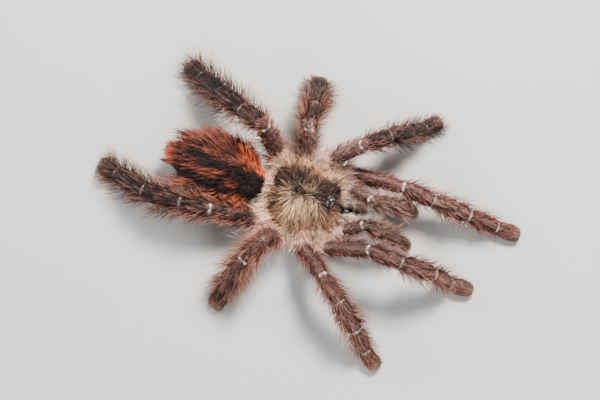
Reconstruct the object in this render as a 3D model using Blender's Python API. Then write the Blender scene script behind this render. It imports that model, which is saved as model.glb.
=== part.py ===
"""A life-size pink toe tarantula, standing still: the construction solids.

Lengths are in millimetres and become metres through MM. The spider faces -Y, its left side is
+X, and its feet stand on Z = 0. It is laid out round the pit in the middle of its back, and the
empty that holds it is moved at the end so that the box round it is centred over the origin. Each
solid reaches out to the tips of the short dense hair. Neighbours meet across a gap of GAP.
"""

import math

import bmesh
import bpy
from mathutils import Matrix, Vector

MM = 0.001
GAP = 0.3
SHARP_DEGREES = 40

# The eight legs. Lengths run trochanter, femur, patella, tibia, metatarsus, tarsus.
LEG_LENGTHS = {
    1: (2.4, 14.0, 8.1, 10.0, 8.2, 6.6),
    2: (2.3, 11.6, 7.3, 8.4, 7.0, 5.6),
    3: (2.2, 9.4, 5.9, 6.4, 6.4, 5.0),
    4: (2.3, 12.6, 7.3, 10.0, 9.3, 5.4),
}
LEG_THICKNESS = {1: 1.0, 2: 0.98, 3: 1.04, 4: 1.1}
# Where each coxa starts beside the breastplate and where it hands over to the trochanter.
COXA_ROOTS = {1: (3.0, -5.6, 5.2), 2: (3.4, -3.2, 5.2), 3: (3.4, -0.2, 5.2), 4: (2.6, 2.2, 5.2)}
HIPS = {1: (8.5, -9.2, 5.8), 2: (9.3, -4.4, 5.8), 3: (9.0, 0.6, 5.8), 4: (7.4, 5.4, 5.8)}

# The stance of each leg, in degrees. Swing is measured from straight out to the side and is
# positive towards the head: trochanter, femur, patella, tibia, metatarsus, tarsus. Pitch is
# positive upwards: trochanter, femur, patella, tibia, tarsus. The metatarsus reaches down from
# its tibia to its tarsus.
STANCES = {
    "leg_1_left": (1, 1, (62, 91, 96, 92, 91, 91), (15, 9, -7, -14, -8)),
    "leg_2_left": (2, 1, (32, 59, 52, 50, 46, 44), (20, 46, -12, -44, -12)),
    "leg_3_left": (3, 1, (6, -16, -2, -2, -4, -6), (22, 56, -10, -56, -10)),
    "leg_4_left": (4, 1, (-52, -60, -65, -58, -57, -57), (22, 59, -24, -38, -12)),
    "leg_1_right": (1, -1, (30, 95, 87, 93, 94, 92), (20, 38, -12, -28, -8)),
    "leg_2_right": (2, -1, (15, 46, 50, 50, 48, 55), (12, 29, -8, -24, -14)),
    "leg_3_right": (3, -1, (-34, -34, -26, -22, -18, -16), (14, 52, -10, -56, -10)),
    "leg_4_right": (4, -1, (-62, -81, -87, -95, -110, -108), (14, 15, -6, -16, -11)),
}

# The palps, the short feelers beside the fangs. Lengths and swings run trochanter, femur,
# patella, tibia, tarsus. The tarsus reaches for the floor.
PALP_LENGTHS = (1.8, 8.6, 5.4, 6.2, 5.6)
PALP_COXA_ROOT = (1.6, -7.4, 5.0)
PALP_HIP = (5.0, -11.0, 5.3)
PALP_STANCES = {
    "palp_left": (1, (64, 114, 76, 76, 78), (22, 42, -24, -46)),
    "palp_right": (-1, (52, 116, 90, 92, 92), (20, 40, -24, -48)),
}

# Half-thickness across and upwards of each leg segment, at its middle, on leg 1.
SEGMENTS = ("femur", "patella", "tibia", "metatarsus", "tarsus")
PALP_SEGMENTS = ("femur", "patella", "tibia", "tarsus")
HALF_SIZES = {
    "femur": (2.3, 2.45),
    "patella": (2.5, 2.4),
    "tibia": (2.6, 2.4),
    "metatarsus": (2.5, 2.1),
    "tarsus": (2.35, 1.7),
}
COXA_HALF_SIZE = (2.2, 2.1)
TROCHANTER_HALF_SIZE = (1.95, 1.95)
PALP_THICKNESS = 0.77
TOE_HEIGHT = 1.15
PALP_TOE_HEIGHT = 0.3
# Share of the way along a segment, and share of its half-sizes there.
SEGMENT_SWELL = ((0.0, 0.84), (0.16, 0.97), (0.5, 1.0), (0.85, 0.95), (1.0, 0.83))
TOE_SWELL = ((0.0, 0.86), (0.15, 0.96), (0.5, 1.04), (0.82, 0.97), (1.0, 0.62))
COXA_SWELL = ((0.0, 0.8), (0.5, 1.0), (1.0, 0.92))
NECK_SWELL = ((0.0, 0.9), (0.5, 1.0))
LIMB_SIDES = 10

# The back shield. Half its outline, from the front edge round to the notch at the waist.
CARAPACE_OUTLINE = (
    (0.0, -10.7),
    (2.6, -10.5),
    (4.5, -9.3),
    (5.3, -6.8),
    (6.4, -4.0),
    (7.2, -0.6),
    (6.9, 2.8),
    (5.2, 5.2),
    (2.5, 6.0),
    (0.0, 5.4),
)
CARAPACE_BASE = 7.9
CARAPACE_RIM = 0.7
CARAPACE_CENTRE_Y = -2.4
HEAD_CROWN = 3.4
THORAX_CROWN = 2.7
HEAD_Y = -6.0
HEAD_SPREAD = 4.5
CARAPACE_RINGS = (1.0, 0.9, 0.72, 0.48, 0.22)
CARAPACE_UNDERSIDE = 0.94
CROWN_ROUNDING = 2.2
OUTLINE_STEPS = 2

EYE_MOUND_CENTRE = (0.0, -8.5, 11.35)
EYE_MOUND_SIZE = (1.5, 1.15, 0.95)
# One side's four eyes: place on the mound and radius.
EYES = (
    ((0.5, -9.3, 11.9), 0.36),
    ((1.15, -9.1, 11.55), 0.34),
    ((1.25, -8.15, 11.6), 0.32),
    ((0.75, -7.9, 11.9), 0.26),
)

STERNUM_CENTRE = (0.0, -2.0, 4.9)
STERNUM_SIZE = (4.6, 6.6, 1.8)

# The abdomen: an egg on a slightly bent axis, given from its front to its rear.
ABDOMEN_FRONT = (-0.9, 7.0, 8.2)
ABDOMEN_REAR = (1.6, 33.2, 7.0)
ABDOMEN_ARCH = 0.8
ABDOMEN_HALF_WIDTH = 7.9
ABDOMEN_HALF_HEIGHT = 6.4
ABDOMEN_FULLNESS = 0.52
ABDOMEN_WIDEST = 0.92
ABDOMEN_RINGS = 13
ABDOMEN_TIP_RING = 0.6
ABDOMEN_SIDES = 18

PEDICEL_PATH = ((0.0, 4.1, 6.7), (0.0, 6.9, 6.9))
PEDICEL_HALF_SIZE = (1.3, 0.95)

SPINNERET_MIDDLE_X = 1.2
SPINNERET_PATH = ((0.9, 29.2, 4.9), (1.3, 31.4, 3.9), (1.7, 33.2, 3.6), (2.0, 34.6, 3.7))
SPINNERET_RADII = (0.8, 0.8, 0.7, 0.4)

# One chelicera, the jaw that carries a fang, with its half-widths and half-heights.
CHELICERA_PATH = (
    (1.8, -11.2, 6.3),
    (1.8, -12.2, 6.4),
    (1.8, -14.1, 6.0),
    (1.75, -15.8, 5.2),
    (1.65, -16.9, 4.3),
)
CHELICERA_HALF_SIZES = ((1.3, 2.0), (1.6, 2.7), (1.6, 2.9), (1.4, 2.4), (1.0, 1.5))
JAW_SIDES = 12
FANG_PATH = ((1.5, -16.3, 2.0), (1.5, -14.9, 1.5), (1.45, -13.1, 1.6), (1.35, -11.4, 2.2))
FANG_RADII = (0.55, 0.5, 0.38, 0.26)
FANG_SIDES = 8

SIDES = ((1, "left"), (-1, "right"))

# The base colour and roughness of each finish.
COLOURS = {
    "leg_coat": ((0.20, 0.13, 0.12), 0.65),
    "toe_coat": ((0.36, 0.24, 0.22), 0.7),
    "carapace_coat": ((0.42, 0.31, 0.24), 0.6),
    "belly_coat": ((0.10, 0.07, 0.065), 0.7),
    "abdomen_coat": ((0.30, 0.07, 0.04), 0.6),
    "jaw_coat": ((0.07, 0.05, 0.045), 0.55),
    "eye": ((0.01, 0.01, 0.012), 0.1),
    "fang": ((0.02, 0.012, 0.01), 0.2),
}


def clear_scene():
    for obj in list(bpy.data.objects):
        bpy.data.objects.remove(obj, do_unlink=True)


def material(slot):
    found = bpy.data.materials.get(slot)
    if found:
        return found
    colour, roughness = COLOURS[slot]
    made = bpy.data.materials.new(slot)
    made.use_nodes = True
    shader = made.node_tree.nodes["Principled BSDF"]
    shader.inputs["Base Color"].default_value = (*colour, 1.0)
    shader.inputs["Roughness"].default_value = roughness
    shader.inputs["Metallic"].default_value = 0.0
    return made


def make_holder():
    """The empty that every piece hangs on."""
    holder = bpy.data.objects.new("tarantula", None)
    bpy.context.scene.collection.objects.link(holder)
    return holder


def finish_object(holder, name, bm, slot, place):
    """Turns a bmesh in millimetres into a named object in metres, with its origin at place."""
    bmesh.ops.translate(bm, vec=-Vector(place), verts=bm.verts)
    bmesh.ops.scale(bm, vec=(MM, MM, MM), verts=bm.verts)
    bmesh.ops.recalc_face_normals(bm, faces=bm.faces)
    bmesh.ops.triangulate(bm, faces=bm.faces)
    mesh = bpy.data.meshes.new(name)
    bm.to_mesh(mesh)
    bm.free()
    mesh.shade_smooth()
    mesh.set_sharp_from_angle(angle=math.radians(SHARP_DEGREES))
    mesh.materials.append(material(slot))
    obj = bpy.data.objects.new(name, mesh)
    obj.parent = holder
    obj.location = Vector(place) * MM
    bpy.context.scene.collection.objects.link(obj)
    return obj


def make_guide(obj):
    """Marks an object as one that only shapes others."""
    obj.hide_render = True
    obj.display_type = "WIRE"
    return obj


def heading(side, swing, pitch):
    """The way a limb segment points, as a unit vector."""
    swing, pitch = math.radians(swing), math.radians(pitch)
    level = math.cos(pitch)
    return Vector((side * math.cos(swing) * level, -math.sin(swing) * level, math.sin(pitch)))


def mirrored(point, side):
    return Vector((side * point[0], point[1], point[2]))


def ellipse(along, half_width, half_height, sides):
    """Offsets from the centre of an upright ellipse that faces along."""
    across = along.cross(Vector((0, 0, 1))).normalized()
    upward = across.cross(along)
    turns = [2 * math.pi * (k + 0.5) / sides for k in range(sides)]
    return [
        across * (half_width * math.cos(turn)) + upward * (half_height * math.sin(turn))
        for turn in turns
    ]


def cross_section(centre, along, half_width, half_height, sides=LIMB_SIDES):
    return [centre + offset for offset in ellipse(along, half_width, half_height, sides)]


def skin_rings(rings):
    """A closed bmesh through a list of rings of equally many points, with both ends capped."""
    bm = bmesh.new()
    loops = [[bm.verts.new(point) for point in ring] for ring in rings]
    count = len(loops[0])
    for lower, upper in zip(loops, loops[1:]):
        for k in range(count):
            after = (k + 1) % count
            bm.faces.new((lower[k], lower[after], upper[after], upper[k]))
    bm.faces.new(loops[0])
    bm.faces.new(loops[-1])
    return bm


def limb_joints(hip, side, lengths, swings, pitches):
    """The joints of a limb from its hip to its tip, with a pitch for each length."""
    joints = [mirrored(hip, side)]
    for length, swing, pitch in zip(lengths, swings, pitches):
        joints.append(joints[-1] + heading(side, swing, pitch) * length)
    return joints


def leg_joints(name):
    """The joints of a leg. The pitch of its metatarsus brings its toe to TOE_HEIGHT."""
    pair, side, swings, pitches = STANCES[name]
    lengths = LEG_LENGTHS[pair]
    *upper, toe_pitch = pitches
    knee = limb_joints(HIPS[pair], side, lengths, swings, upper)[-1]
    ankle = TOE_HEIGHT - lengths[-1] * math.sin(math.radians(toe_pitch))
    drop = math.degrees(math.asin((ankle - knee.z) / lengths[len(upper)]))
    return limb_joints(HIPS[pair], side, lengths, swings, (*upper, drop, toe_pitch))


def palp_joints(name):
    """The joints of a palp. The pitch of its tarsus brings its tip to PALP_TOE_HEIGHT."""
    side, swings, pitches = PALP_STANCES[name]
    wrist = limb_joints(PALP_HIP, side, PALP_LENGTHS, swings, pitches)[-1]
    drop = math.degrees(math.asin((PALP_TOE_HEIGHT - wrist.z) / PALP_LENGTHS[-1]))
    return limb_joints(PALP_HIP, side, PALP_LENGTHS, swings, (*pitches, drop))


def miter(before, joint, after):
    """The unit normal of the plane that halves the bend at joint."""
    return ((joint - before).normalized() + (after - joint).normalized()).normalized()


def segment_rings(start, end, start_plane, end_plane, half_size, swell):
    """Rings along one straight segment. Its end faces lie GAP / 2 inside the two planes, given
    by their normals, and the rings between them lean over evenly from the one to the other."""
    along = (end - start).normalized()
    first = start + along * (0.5 * GAP / along.dot(start_plane))
    last = end - along * (0.5 * GAP / along.dot(end_plane))
    rings = []
    for share, size in swell:
        lean = start_plane / along.dot(start_plane) * (1 - share)
        lean += end_plane / along.dot(end_plane) * share
        ring = ellipse(along, half_size[0] * size, half_size[1] * size, LIMB_SIDES)
        centre = first.lerp(last, share)
        rings.append([centre + offset - along * offset.dot(lean) for offset in ring])
    return rings


def stand_on_floor(rings):
    """Presses whatever hangs below the floor flat against it."""
    return [[Vector((p.x, p.y, max(p.z, 0.0))) for p in ring] for ring in rings]


def make_limb(holder, name, root, joints, segments, thickness):
    """One object for each segment of a limb. The first takes in the trochanter."""
    track = [root, *joints]
    planes = [miter(a, b, c) for a, b, c in zip(track, track[1:], track[2:])]
    planes.append((joints[-1] - joints[-2]).normalized())
    for number, segment in enumerate(segments):
        half = [size * thickness for size in HALF_SIZES[segment]]
        start, end = joints[number + 1], joints[number + 2]
        opening = planes[number + 1]
        swell = TOE_SWELL if segment == "tarsus" else SEGMENT_SWELL
        rings = segment_rings(start, end, opening, planes[number + 2], half, swell)
        if number == 0:
            base = [size * thickness for size in TROCHANTER_HALF_SIZE]
            rings = segment_rings(joints[0], start, planes[0], opening, base, NECK_SWELL) + rings
        if segment == "tarsus":
            rings = stand_on_floor(rings)
        slot = "toe_coat" if segment == "tarsus" else "leg_coat"
        finish_object(holder, f"{name}_{segment}", skin_rings(rings), slot, start)


def make_coxa(holder, name, root, hip, knee, thickness):
    """The first joint of a limb, a stub beside the breastplate that the union takes in."""
    half = [size * thickness for size in COXA_HALF_SIZE]
    opening, end = (hip - root).normalized(), miter(root, hip, knee)
    rings = segment_rings(root, hip, opening, end, half, COXA_SWELL)
    return make_guide(finish_object(holder, name, skin_rings(rings), "belly_coat", root))


def ellipsoid(holder, name, centre, size, slot, segments=12, rings=8):
    bm = bmesh.new()
    form = Matrix.LocRotScale(Vector(centre), None, Vector(size))
    bmesh.ops.create_uvsphere(bm, u_segments=segments, v_segments=rings, radius=1.0, matrix=form)
    return finish_object(holder, name, bm, slot, centre)


def union_of(body, others):
    """Joins the guides to body with one Boolean."""
    group = bpy.data.collections.new(body.name + "_guides")
    for other in others:
        group.objects.link(other)
    joined = body.modifiers.new("join_guides", "BOOLEAN")
    joined.operation = "UNION"
    joined.solver = "EXACT"
    joined.operand_type = "COLLECTION"
    joined.collection = group


def cut_away(body, cutter):
    cut = body.modifiers.new("cut_" + cutter.name, "BOOLEAN")
    cut.operation = "DIFFERENCE"
    cut.solver = "EXACT"
    cut.object = make_guide(cutter)


def make_limbs_and_underside(holder):
    """Every limb, and the breastplate that their coxae grow from."""
    coxae = []
    for name, (pair, side, _, _) in STANCES.items():
        root, joints = mirrored(COXA_ROOTS[pair], side), leg_joints(name)
        thickness = LEG_THICKNESS[pair]
        make_limb(holder, name, root, joints, SEGMENTS, thickness)
        coxae.append(make_coxa(holder, f"{name}_coxa", root, joints[0], joints[1], thickness))
    for name, (side, _, _) in PALP_STANCES.items():
        root, joints = mirrored(PALP_COXA_ROOT, side), palp_joints(name)
        make_limb(holder, name, root, joints, PALP_SEGMENTS, PALP_THICKNESS)
        coxae.append(make_coxa(holder, f"{name}_coxa", root, joints[0], joints[1], PALP_THICKNESS))
    sternum = ellipsoid(holder, "sternum_and_coxae", STERNUM_CENTRE, STERNUM_SIZE, "belly_coat")
    union_of(sternum, coxae)


def catmull_rom(a, b, c, d, t):
    """The point at t of the smooth curve from b to c, whose neighbours are a and d."""
    bend = (2 * a - 5 * b + 4 * c - d) * t**2
    twist = (3 * b - a - 3 * c + d) * t**3
    return 0.5 * (2 * b + (c - a) * t + bend + twist)


def smooth_outline(points, steps):
    """A smooth curve through half an outline, then its mirror image."""
    first = (-points[1][0], points[1][1])
    last = (-points[-2][0], points[-2][1])
    posts = [Vector(p) for p in (first, *points, last)]
    half = []
    for a, b, c, d in zip(posts, posts[1:], posts[2:], posts[3:]):
        half.extend(catmull_rom(a, b, c, d, step / steps) for step in range(steps))
    half.append(posts[-2])
    return half + [Vector((-p.x, p.y)) for p in reversed(half[1:-1])]


def crown_at(y):
    """Height of the back shield's middle above its rim: the head stands above the thorax."""
    head = math.exp(-(((y - HEAD_Y) / HEAD_SPREAD) ** 2))
    return THORAX_CROWN + (HEAD_CROWN - THORAX_CROWN) * head


def make_carapace(holder):
    outline = smooth_outline(CARAPACE_OUTLINE, OUTLINE_STEPS)
    centre = Vector((0.0, CARAPACE_CENTRE_Y))
    rings = [[Vector((*centre.lerp(p, CARAPACE_UNDERSIDE), CARAPACE_BASE)) for p in outline]]
    for scale in CARAPACE_RINGS:
        ring = []
        for point in outline:
            flat = centre.lerp(point, scale)
            rise = CARAPACE_RIM + crown_at(flat.y) * (1 - scale**CROWN_ROUNDING)
            ring.append(Vector((*flat, CARAPACE_BASE + rise)))
        rings.append(ring)
    place = (*centre, CARAPACE_BASE)
    carapace = finish_object(holder, "carapace", skin_rings(rings), "carapace_coat", place)
    socket_size = [size + GAP for size in EYE_MOUND_SIZE]
    cut_away(carapace, ellipsoid(holder, "eye_socket", EYE_MOUND_CENTRE, socket_size, "eye"))


def make_eye_mound(holder):
    """The raised turret on the head, with four small eyes on each side of it."""
    mound = ellipsoid(holder, "eye_mound", EYE_MOUND_CENTRE, EYE_MOUND_SIZE, "eye")
    eyes = []
    for side, word in SIDES:
        for number, (place, radius) in enumerate(EYES, 1):
            name = f"eye_{number}_{word}"
            eye = ellipsoid(holder, name, mirrored(place, side), (radius,) * 3, "eye", 8, 6)
            eyes.append(make_guide(eye))
    union_of(mound, eyes)


def abdomen_rings():
    """Rings of the egg from front to rear, closest together where it closes."""
    front, rear = Vector(ABDOMEN_FRONT), Vector(ABDOMEN_REAR)
    along = (rear - front).normalized()
    rings = []
    for k in range(ABDOMEN_RINGS):
        step = (k + ABDOMEN_TIP_RING) / (ABDOMEN_RINGS - 1 + 2 * ABDOMEN_TIP_RING)
        share = 0.5 - 0.5 * math.cos(math.pi * step)
        swell = math.sin(math.pi * share**ABDOMEN_WIDEST) ** ABDOMEN_FULLNESS
        centre = front.lerp(rear, share)
        centre.z += ABDOMEN_ARCH * math.sin(math.pi * share)
        half_width, half_height = ABDOMEN_HALF_WIDTH * swell, ABDOMEN_HALF_HEIGHT * swell
        rings.append(cross_section(centre, along, half_width, half_height, ABDOMEN_SIDES))
    return rings


def make_abdomen(holder):
    rings = skin_rings(abdomen_rings())
    abdomen = finish_object(holder, "abdomen", rings, "abdomen_coat", ABDOMEN_FRONT)
    socket_radii = [radius + GAP for radius in SPINNERET_RADII]
    for side, word in SIDES:
        path, name = spinneret_path(side), f"spinneret_socket_{word}"
        cut_away(abdomen, bar(holder, name, path, socket_radii, "abdomen_coat", reach=GAP))


def bar(holder, name, path, half_sizes, slot, reach=0.0, sides=LIMB_SIDES):
    """A rounded bar through path. Each of its half sizes is a radius, or a half-width and a
    half-height. Both of its ends are drawn out by reach."""
    points = [Vector(p) for p in path]
    points[0] += (points[0] - points[1]).normalized() * reach
    points[-1] += (points[-1] - points[-2]).normalized() * reach
    rings = []
    for k, (point, size) in enumerate(zip(points, half_sizes)):
        half_width, half_height = size if isinstance(size, tuple) else (size, size)
        before, after = points[max(k - 1, 0)], points[min(k + 1, len(points) - 1)]
        along = (after - before).normalized()
        rings.append(cross_section(point, along, half_width, half_height, sides))
    return finish_object(holder, name, skin_rings(rings), slot, points[0])


def spinneret_path(side):
    return [Vector((SPINNERET_MIDDLE_X + side * x, y, z)) for x, y, z in SPINNERET_PATH]


def make_waist_and_spinnerets(holder):
    bar(holder, "pedicel", PEDICEL_PATH, [PEDICEL_HALF_SIZE] * 2, "belly_coat")
    for side, word in SIDES:
        path = spinneret_path(side)
        bar(holder, f"spinneret_{word}", path, SPINNERET_RADII, "abdomen_coat")


def make_jaws(holder):
    """The chelicerae and the fang folded under each."""
    for side, word in SIDES:
        jaw = [mirrored(point, side) for point in CHELICERA_PATH]
        bar(holder, f"chelicera_{word}", jaw, CHELICERA_HALF_SIZES, "jaw_coat", sides=JAW_SIDES)
        fang = [mirrored(point, side) for point in FANG_PATH]
        bar(holder, f"fang_{word}", fang, FANG_RADII, "fang", sides=FANG_SIDES)


def centre_over_origin(holder):
    """Moves the holder so that the model's box stands centred on the floor."""
    shown = [obj for obj in holder.children if not obj.hide_render]
    corners = [obj.location + v.co for obj in shown for v in obj.data.vertices]
    low = Vector(min(c[axis] for c in corners) for axis in range(3))
    high = Vector(max(c[axis] for c in corners) for axis in range(3))
    middle = (low + high) / 2
    holder.location = (-middle.x, -middle.y, -low.z)


def main():
    clear_scene()
    holder = make_holder()
    make_limbs_and_underside(holder)
    make_carapace(holder)
    make_eye_mound(holder)
    make_abdomen(holder)
    make_waist_and_spinnerets(holder)
    make_jaws(holder)
    centre_over_origin(holder)


main()
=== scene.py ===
"""The looks of a life-size pink toe tarantula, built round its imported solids.

The spider faces -Y, its left side is +X, and its feet stand on Z = 0. Lengths are in metres, so
most of them are written as a number of MM. One skin is drawn over all the flesh, a little inside
the solids. The coat is thousands of closed, tapered hairs that grow from that skin, each leaning
the way its body part combs it. Skin and hairs carry the same markings, which are worked out from
where on the animal a point lies.
"""

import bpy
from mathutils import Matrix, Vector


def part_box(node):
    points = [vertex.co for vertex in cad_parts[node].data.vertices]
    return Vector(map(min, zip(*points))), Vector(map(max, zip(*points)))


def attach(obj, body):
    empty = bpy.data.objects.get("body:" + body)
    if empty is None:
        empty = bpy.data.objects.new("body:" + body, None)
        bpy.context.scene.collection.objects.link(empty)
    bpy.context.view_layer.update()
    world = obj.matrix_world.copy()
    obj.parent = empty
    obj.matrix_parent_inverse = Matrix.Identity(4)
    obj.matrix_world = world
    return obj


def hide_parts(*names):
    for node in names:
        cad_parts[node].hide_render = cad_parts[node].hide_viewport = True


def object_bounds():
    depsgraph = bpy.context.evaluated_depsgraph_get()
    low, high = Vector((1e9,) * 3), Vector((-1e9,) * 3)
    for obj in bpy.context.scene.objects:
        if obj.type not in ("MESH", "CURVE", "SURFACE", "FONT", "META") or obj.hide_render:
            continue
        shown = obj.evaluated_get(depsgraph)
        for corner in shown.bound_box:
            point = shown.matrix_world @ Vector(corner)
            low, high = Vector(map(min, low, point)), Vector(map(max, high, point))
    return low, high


bl_info = {
    "name": "Pink toe tarantula",
    "version": (1, 0, 0),
    "blender": (4, 5, 0),
    "location": "3D View > Sidebar > Tarantula",
    "description": "Builds the skin, coat, eyes and fangs of a life-size tarantula",
    "category": "Add Mesh",
}

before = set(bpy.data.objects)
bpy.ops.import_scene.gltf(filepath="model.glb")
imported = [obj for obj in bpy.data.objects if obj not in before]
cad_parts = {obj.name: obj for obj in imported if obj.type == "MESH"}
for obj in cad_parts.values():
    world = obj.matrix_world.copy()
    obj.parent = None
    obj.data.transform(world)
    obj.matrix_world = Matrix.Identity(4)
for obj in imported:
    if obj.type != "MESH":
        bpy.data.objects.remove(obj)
cad_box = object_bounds()

import math

import bpy
import numpy as np
from bpy.props import FloatProperty, FloatVectorProperty, IntProperty, PointerProperty
from mathutils import Matrix, Vector
from mathutils.bvhtree import BVHTree

MM = 0.001

# ---- Small helpers ----


def unit(vectors):
    """Vectors at length 1."""
    lengths = np.linalg.norm(vectors, axis=-1, keepdims=True)
    return vectors / np.maximum(lengths, 1e-12)


def dot(a, b):
    return (a * b).sum(axis=-1)


def step(values, low, high):
    """0 below low, 1 above high, and a smooth rise between them. High may be the lower one."""
    share = np.clip((values - low) / (high - low), 0.0, 1.0)
    return share * share * (3.0 - 2.0 * share)


def bump(values, middle, width):
    """1 at middle, falling to 0 over about twice width."""
    return np.exp(-(((values - middle) / width) ** 2))


def ripple(points, wavelength, seed):
    """A smooth random field over points, about from -1 to 1."""
    chance = np.random.default_rng(seed)
    total = np.zeros(len(points))
    for _ in range(6):
        wave = unit(chance.normal(size=3)) * (2 * math.pi / wavelength) * chance.uniform(0.6, 1.5)
        total += np.sin(points @ wave + chance.uniform(0, 2 * math.pi))
    return total / 3.0


def share_along(points, start, end):
    """How far from start to end the nearest place to each point lies, from 0 to 1."""
    axis = end - start
    return np.clip((points - start) @ axis / (axis @ axis), 0.0, 1.0)


def vertex_array(mesh, field="co"):
    """The places of a mesh's vertices, or their normals where field is "vector"."""
    source = mesh.vertices if field == "co" else mesh.vertex_normals
    values = np.empty(len(mesh.vertices) * 3, np.float32)
    source.foreach_get(field, values)
    return values.reshape(-1, 3).astype(float)


def set_points(mesh, points):
    mesh.vertices.foreach_set("co", points.astype(np.float32).ravel())
    mesh.update()


def write_attribute(mesh, name, values):
    attribute = mesh.attributes.new(name, "FLOAT", "POINT")
    attribute.data.foreach_set("value", values.astype(np.float32))


def add_object(name, data):
    obj = bpy.data.objects.new(name, data)
    bpy.context.scene.collection.objects.link(obj)
    return obj


def deselect_all():
    bpy.ops.object.select_all(action="DESELECT")


def select_only(obj):
    deselect_all()
    obj.select_set(True)
    bpy.context.view_layer.objects.active = obj


def edit_all():
    """Starts to edit the active object, with all of it selected."""
    bpy.ops.object.mode_set(mode="EDIT")
    bpy.ops.mesh.select_all(action="SELECT")


def stop_editing():
    bpy.ops.object.mode_set(mode="OBJECT")


def merge_doubles():
    bpy.ops.mesh.remove_doubles(threshold=0.001 * MM)


def apply_modifiers(obj):
    select_only(obj)
    for modifier in list(obj.modifiers):
        bpy.ops.object.modifier_apply(modifier=modifier.name)


# ---- The animal's parts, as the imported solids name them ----

SIDES = ("left", "right")
LEG_SEGMENTS = ("femur", "patella", "tibia", "metatarsus", "tarsus")
PALP_SEGMENTS = ("femur", "patella", "tibia", "tarsus")
LEGS = [f"leg_{pair}_{side}" for side in SIDES for pair in (1, 2, 3, 4)]
PALPS, CHELICERAE, SPINNERETS, FANGS = (
    [f"{part}_{side}" for side in SIDES] for part in ("palp", "chelicera", "spinneret", "fang")
)
LIMB_NODES = {
    limb: [f"{limb}_{part}" for part in (PALP_SEGMENTS if limb in PALPS else LEG_SEGMENTS)]
    for limb in LEGS + PALPS
}
BELLY = ["sternum_and_coxae", "pedicel"]
TRUNK = ["carapace", *BELLY, "abdomen", "eye_mound", *SPINNERETS, *CHELICERAE]
FLESH = [node for nodes in LIMB_NODES.values() for node in nodes] + TRUNK

# How many corners of a solid stand for its end at a joint.
END_CORNERS = 10

# How deep the flesh lies under the surface of each kind of solid, in millimetres.
COAT_DEPTHS = dict.fromkeys(("femur", "patella", "tibia", "metatarsus"), 0.55) | {
    "tarsus": 0.4, "carapace": 0.3, "sternum_and_coxae": 0.35, "pedicel": 0.1, "abdomen": 0.95,
    "eye_mound": 0.12, "spinneret": 0.1, "chelicera": 0.35,
}
PALP_DEPTH_SHARE = 0.75
HIP_DEPTH = 0.3 * MM


def nearest_corners(points, others):
    """The corners among points that lie nearest to any of the others."""
    gaps = np.linalg.norm(points[:, None] - others[None], axis=2).min(axis=1)
    return points[np.argsort(gaps)[:END_CORNERS]]


def corner_points(node):
    """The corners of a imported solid, each once."""
    return np.unique(vertex_array(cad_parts[node].data).round(7), axis=0)


def limb_line(limb):
    """The middle of a limb: its hip, the bend after its trochanter, each later joint, its toe."""
    clouds = [corner_points(node) for node in LIMB_NODES[limb]]
    hip = nearest_corners(clouds[0], corner_points("sternum_and_coxae")).mean(axis=0)
    joints = []
    for cloud, further in zip(clouds, clouds[1:]):
        both = [nearest_corners(cloud, further), nearest_corners(further, cloud)]
        joints.append(np.concatenate(both).mean(axis=0))
    knee, ankle, toe_corners = joints[0], joints[-1], clouds[-1]
    femur = clouds[0][np.argsort(np.linalg.norm(clouds[0] - knee, axis=1))]
    mid_femur = femur[2 * END_CORNERS : 3 * END_CORNERS].mean(axis=0)
    reach = (toe_corners - ankle) @ (toe_corners.mean(axis=0) - ankle)
    toe = toe_corners[np.argsort(reach)[-END_CORNERS:]].mean(axis=0)
    return np.array([hip, 2 * mid_femur - knee, *joints, toe])


def centre_of(node):
    low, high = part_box(node)
    return (low + high) / 2


def half_size_of(node):
    low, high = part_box(node)
    return (high - low) / 2


LINES = {limb: limb_line(limb) for limb in LIMB_NODES}

# How far each joint and the toe of a limb lie from its hip, along the limb.
WALKS = {
    limb: np.cumsum(np.linalg.norm(np.diff(line, axis=0), axis=1)) for limb, line in LINES.items()
}

# The pit in the middle of the back, which the coat of the back shield runs away from.
FOVEA_SHARE = 0.64
SHIELD_LOW, SHIELD_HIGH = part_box("carapace")
FOVEA = Vector((
    centre_of("carapace").x,
    SHIELD_LOW.y + FOVEA_SHARE * (SHIELD_HIGH.y - SHIELD_LOW.y),
    SHIELD_HIGH.z,
))

# The hair of the back shield parts along a line that runs this far forward from the pit.
PARTING = 5.0 * MM


def from_parting(points):
    """The way to each point from its nearest place on the back's parting, and that place's y."""
    nearest = np.clip(points[:, 1], FOVEA.y - PARTING, FOVEA.y)
    away = np.stack([points[:, 0] - FOVEA.x, points[:, 1] - nearest, np.zeros(len(points))], axis=1)
    return away, nearest


# ---- Where a point lies on the animal ----

# The number of a limb's last segment.
TARSUS = 5

# A distance that stands for "nowhere near".
FAR = 1.0

# Over what distance the comb of a limb turns from one segment's way to the next one's.
BEND_BLEND = 0.8 * MM

# The first stretch of the hind legs, where their hair joins the belly's fringe.
HIND_HIP = 6.0 * MM

# Where a pale ring lies short of its joint, its width, and how far it keeps short hair away.
RING_PLACE = 0.12 * MM
RING_WIDTH = 0.2 * MM
RING_MARGIN = 0.15 * MM

# The girth that a limb is taken to have where its hair is cut into locks.
LIMB_GIRTH = 11.0 * MM

# Locks on the trunk's top and on its underside are numbered apart: what lies above this height
# counts as this much further across.
MID_HEIGHT = 5.0 * MM
TOP_SHIFT = 9.0 * MM


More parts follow.
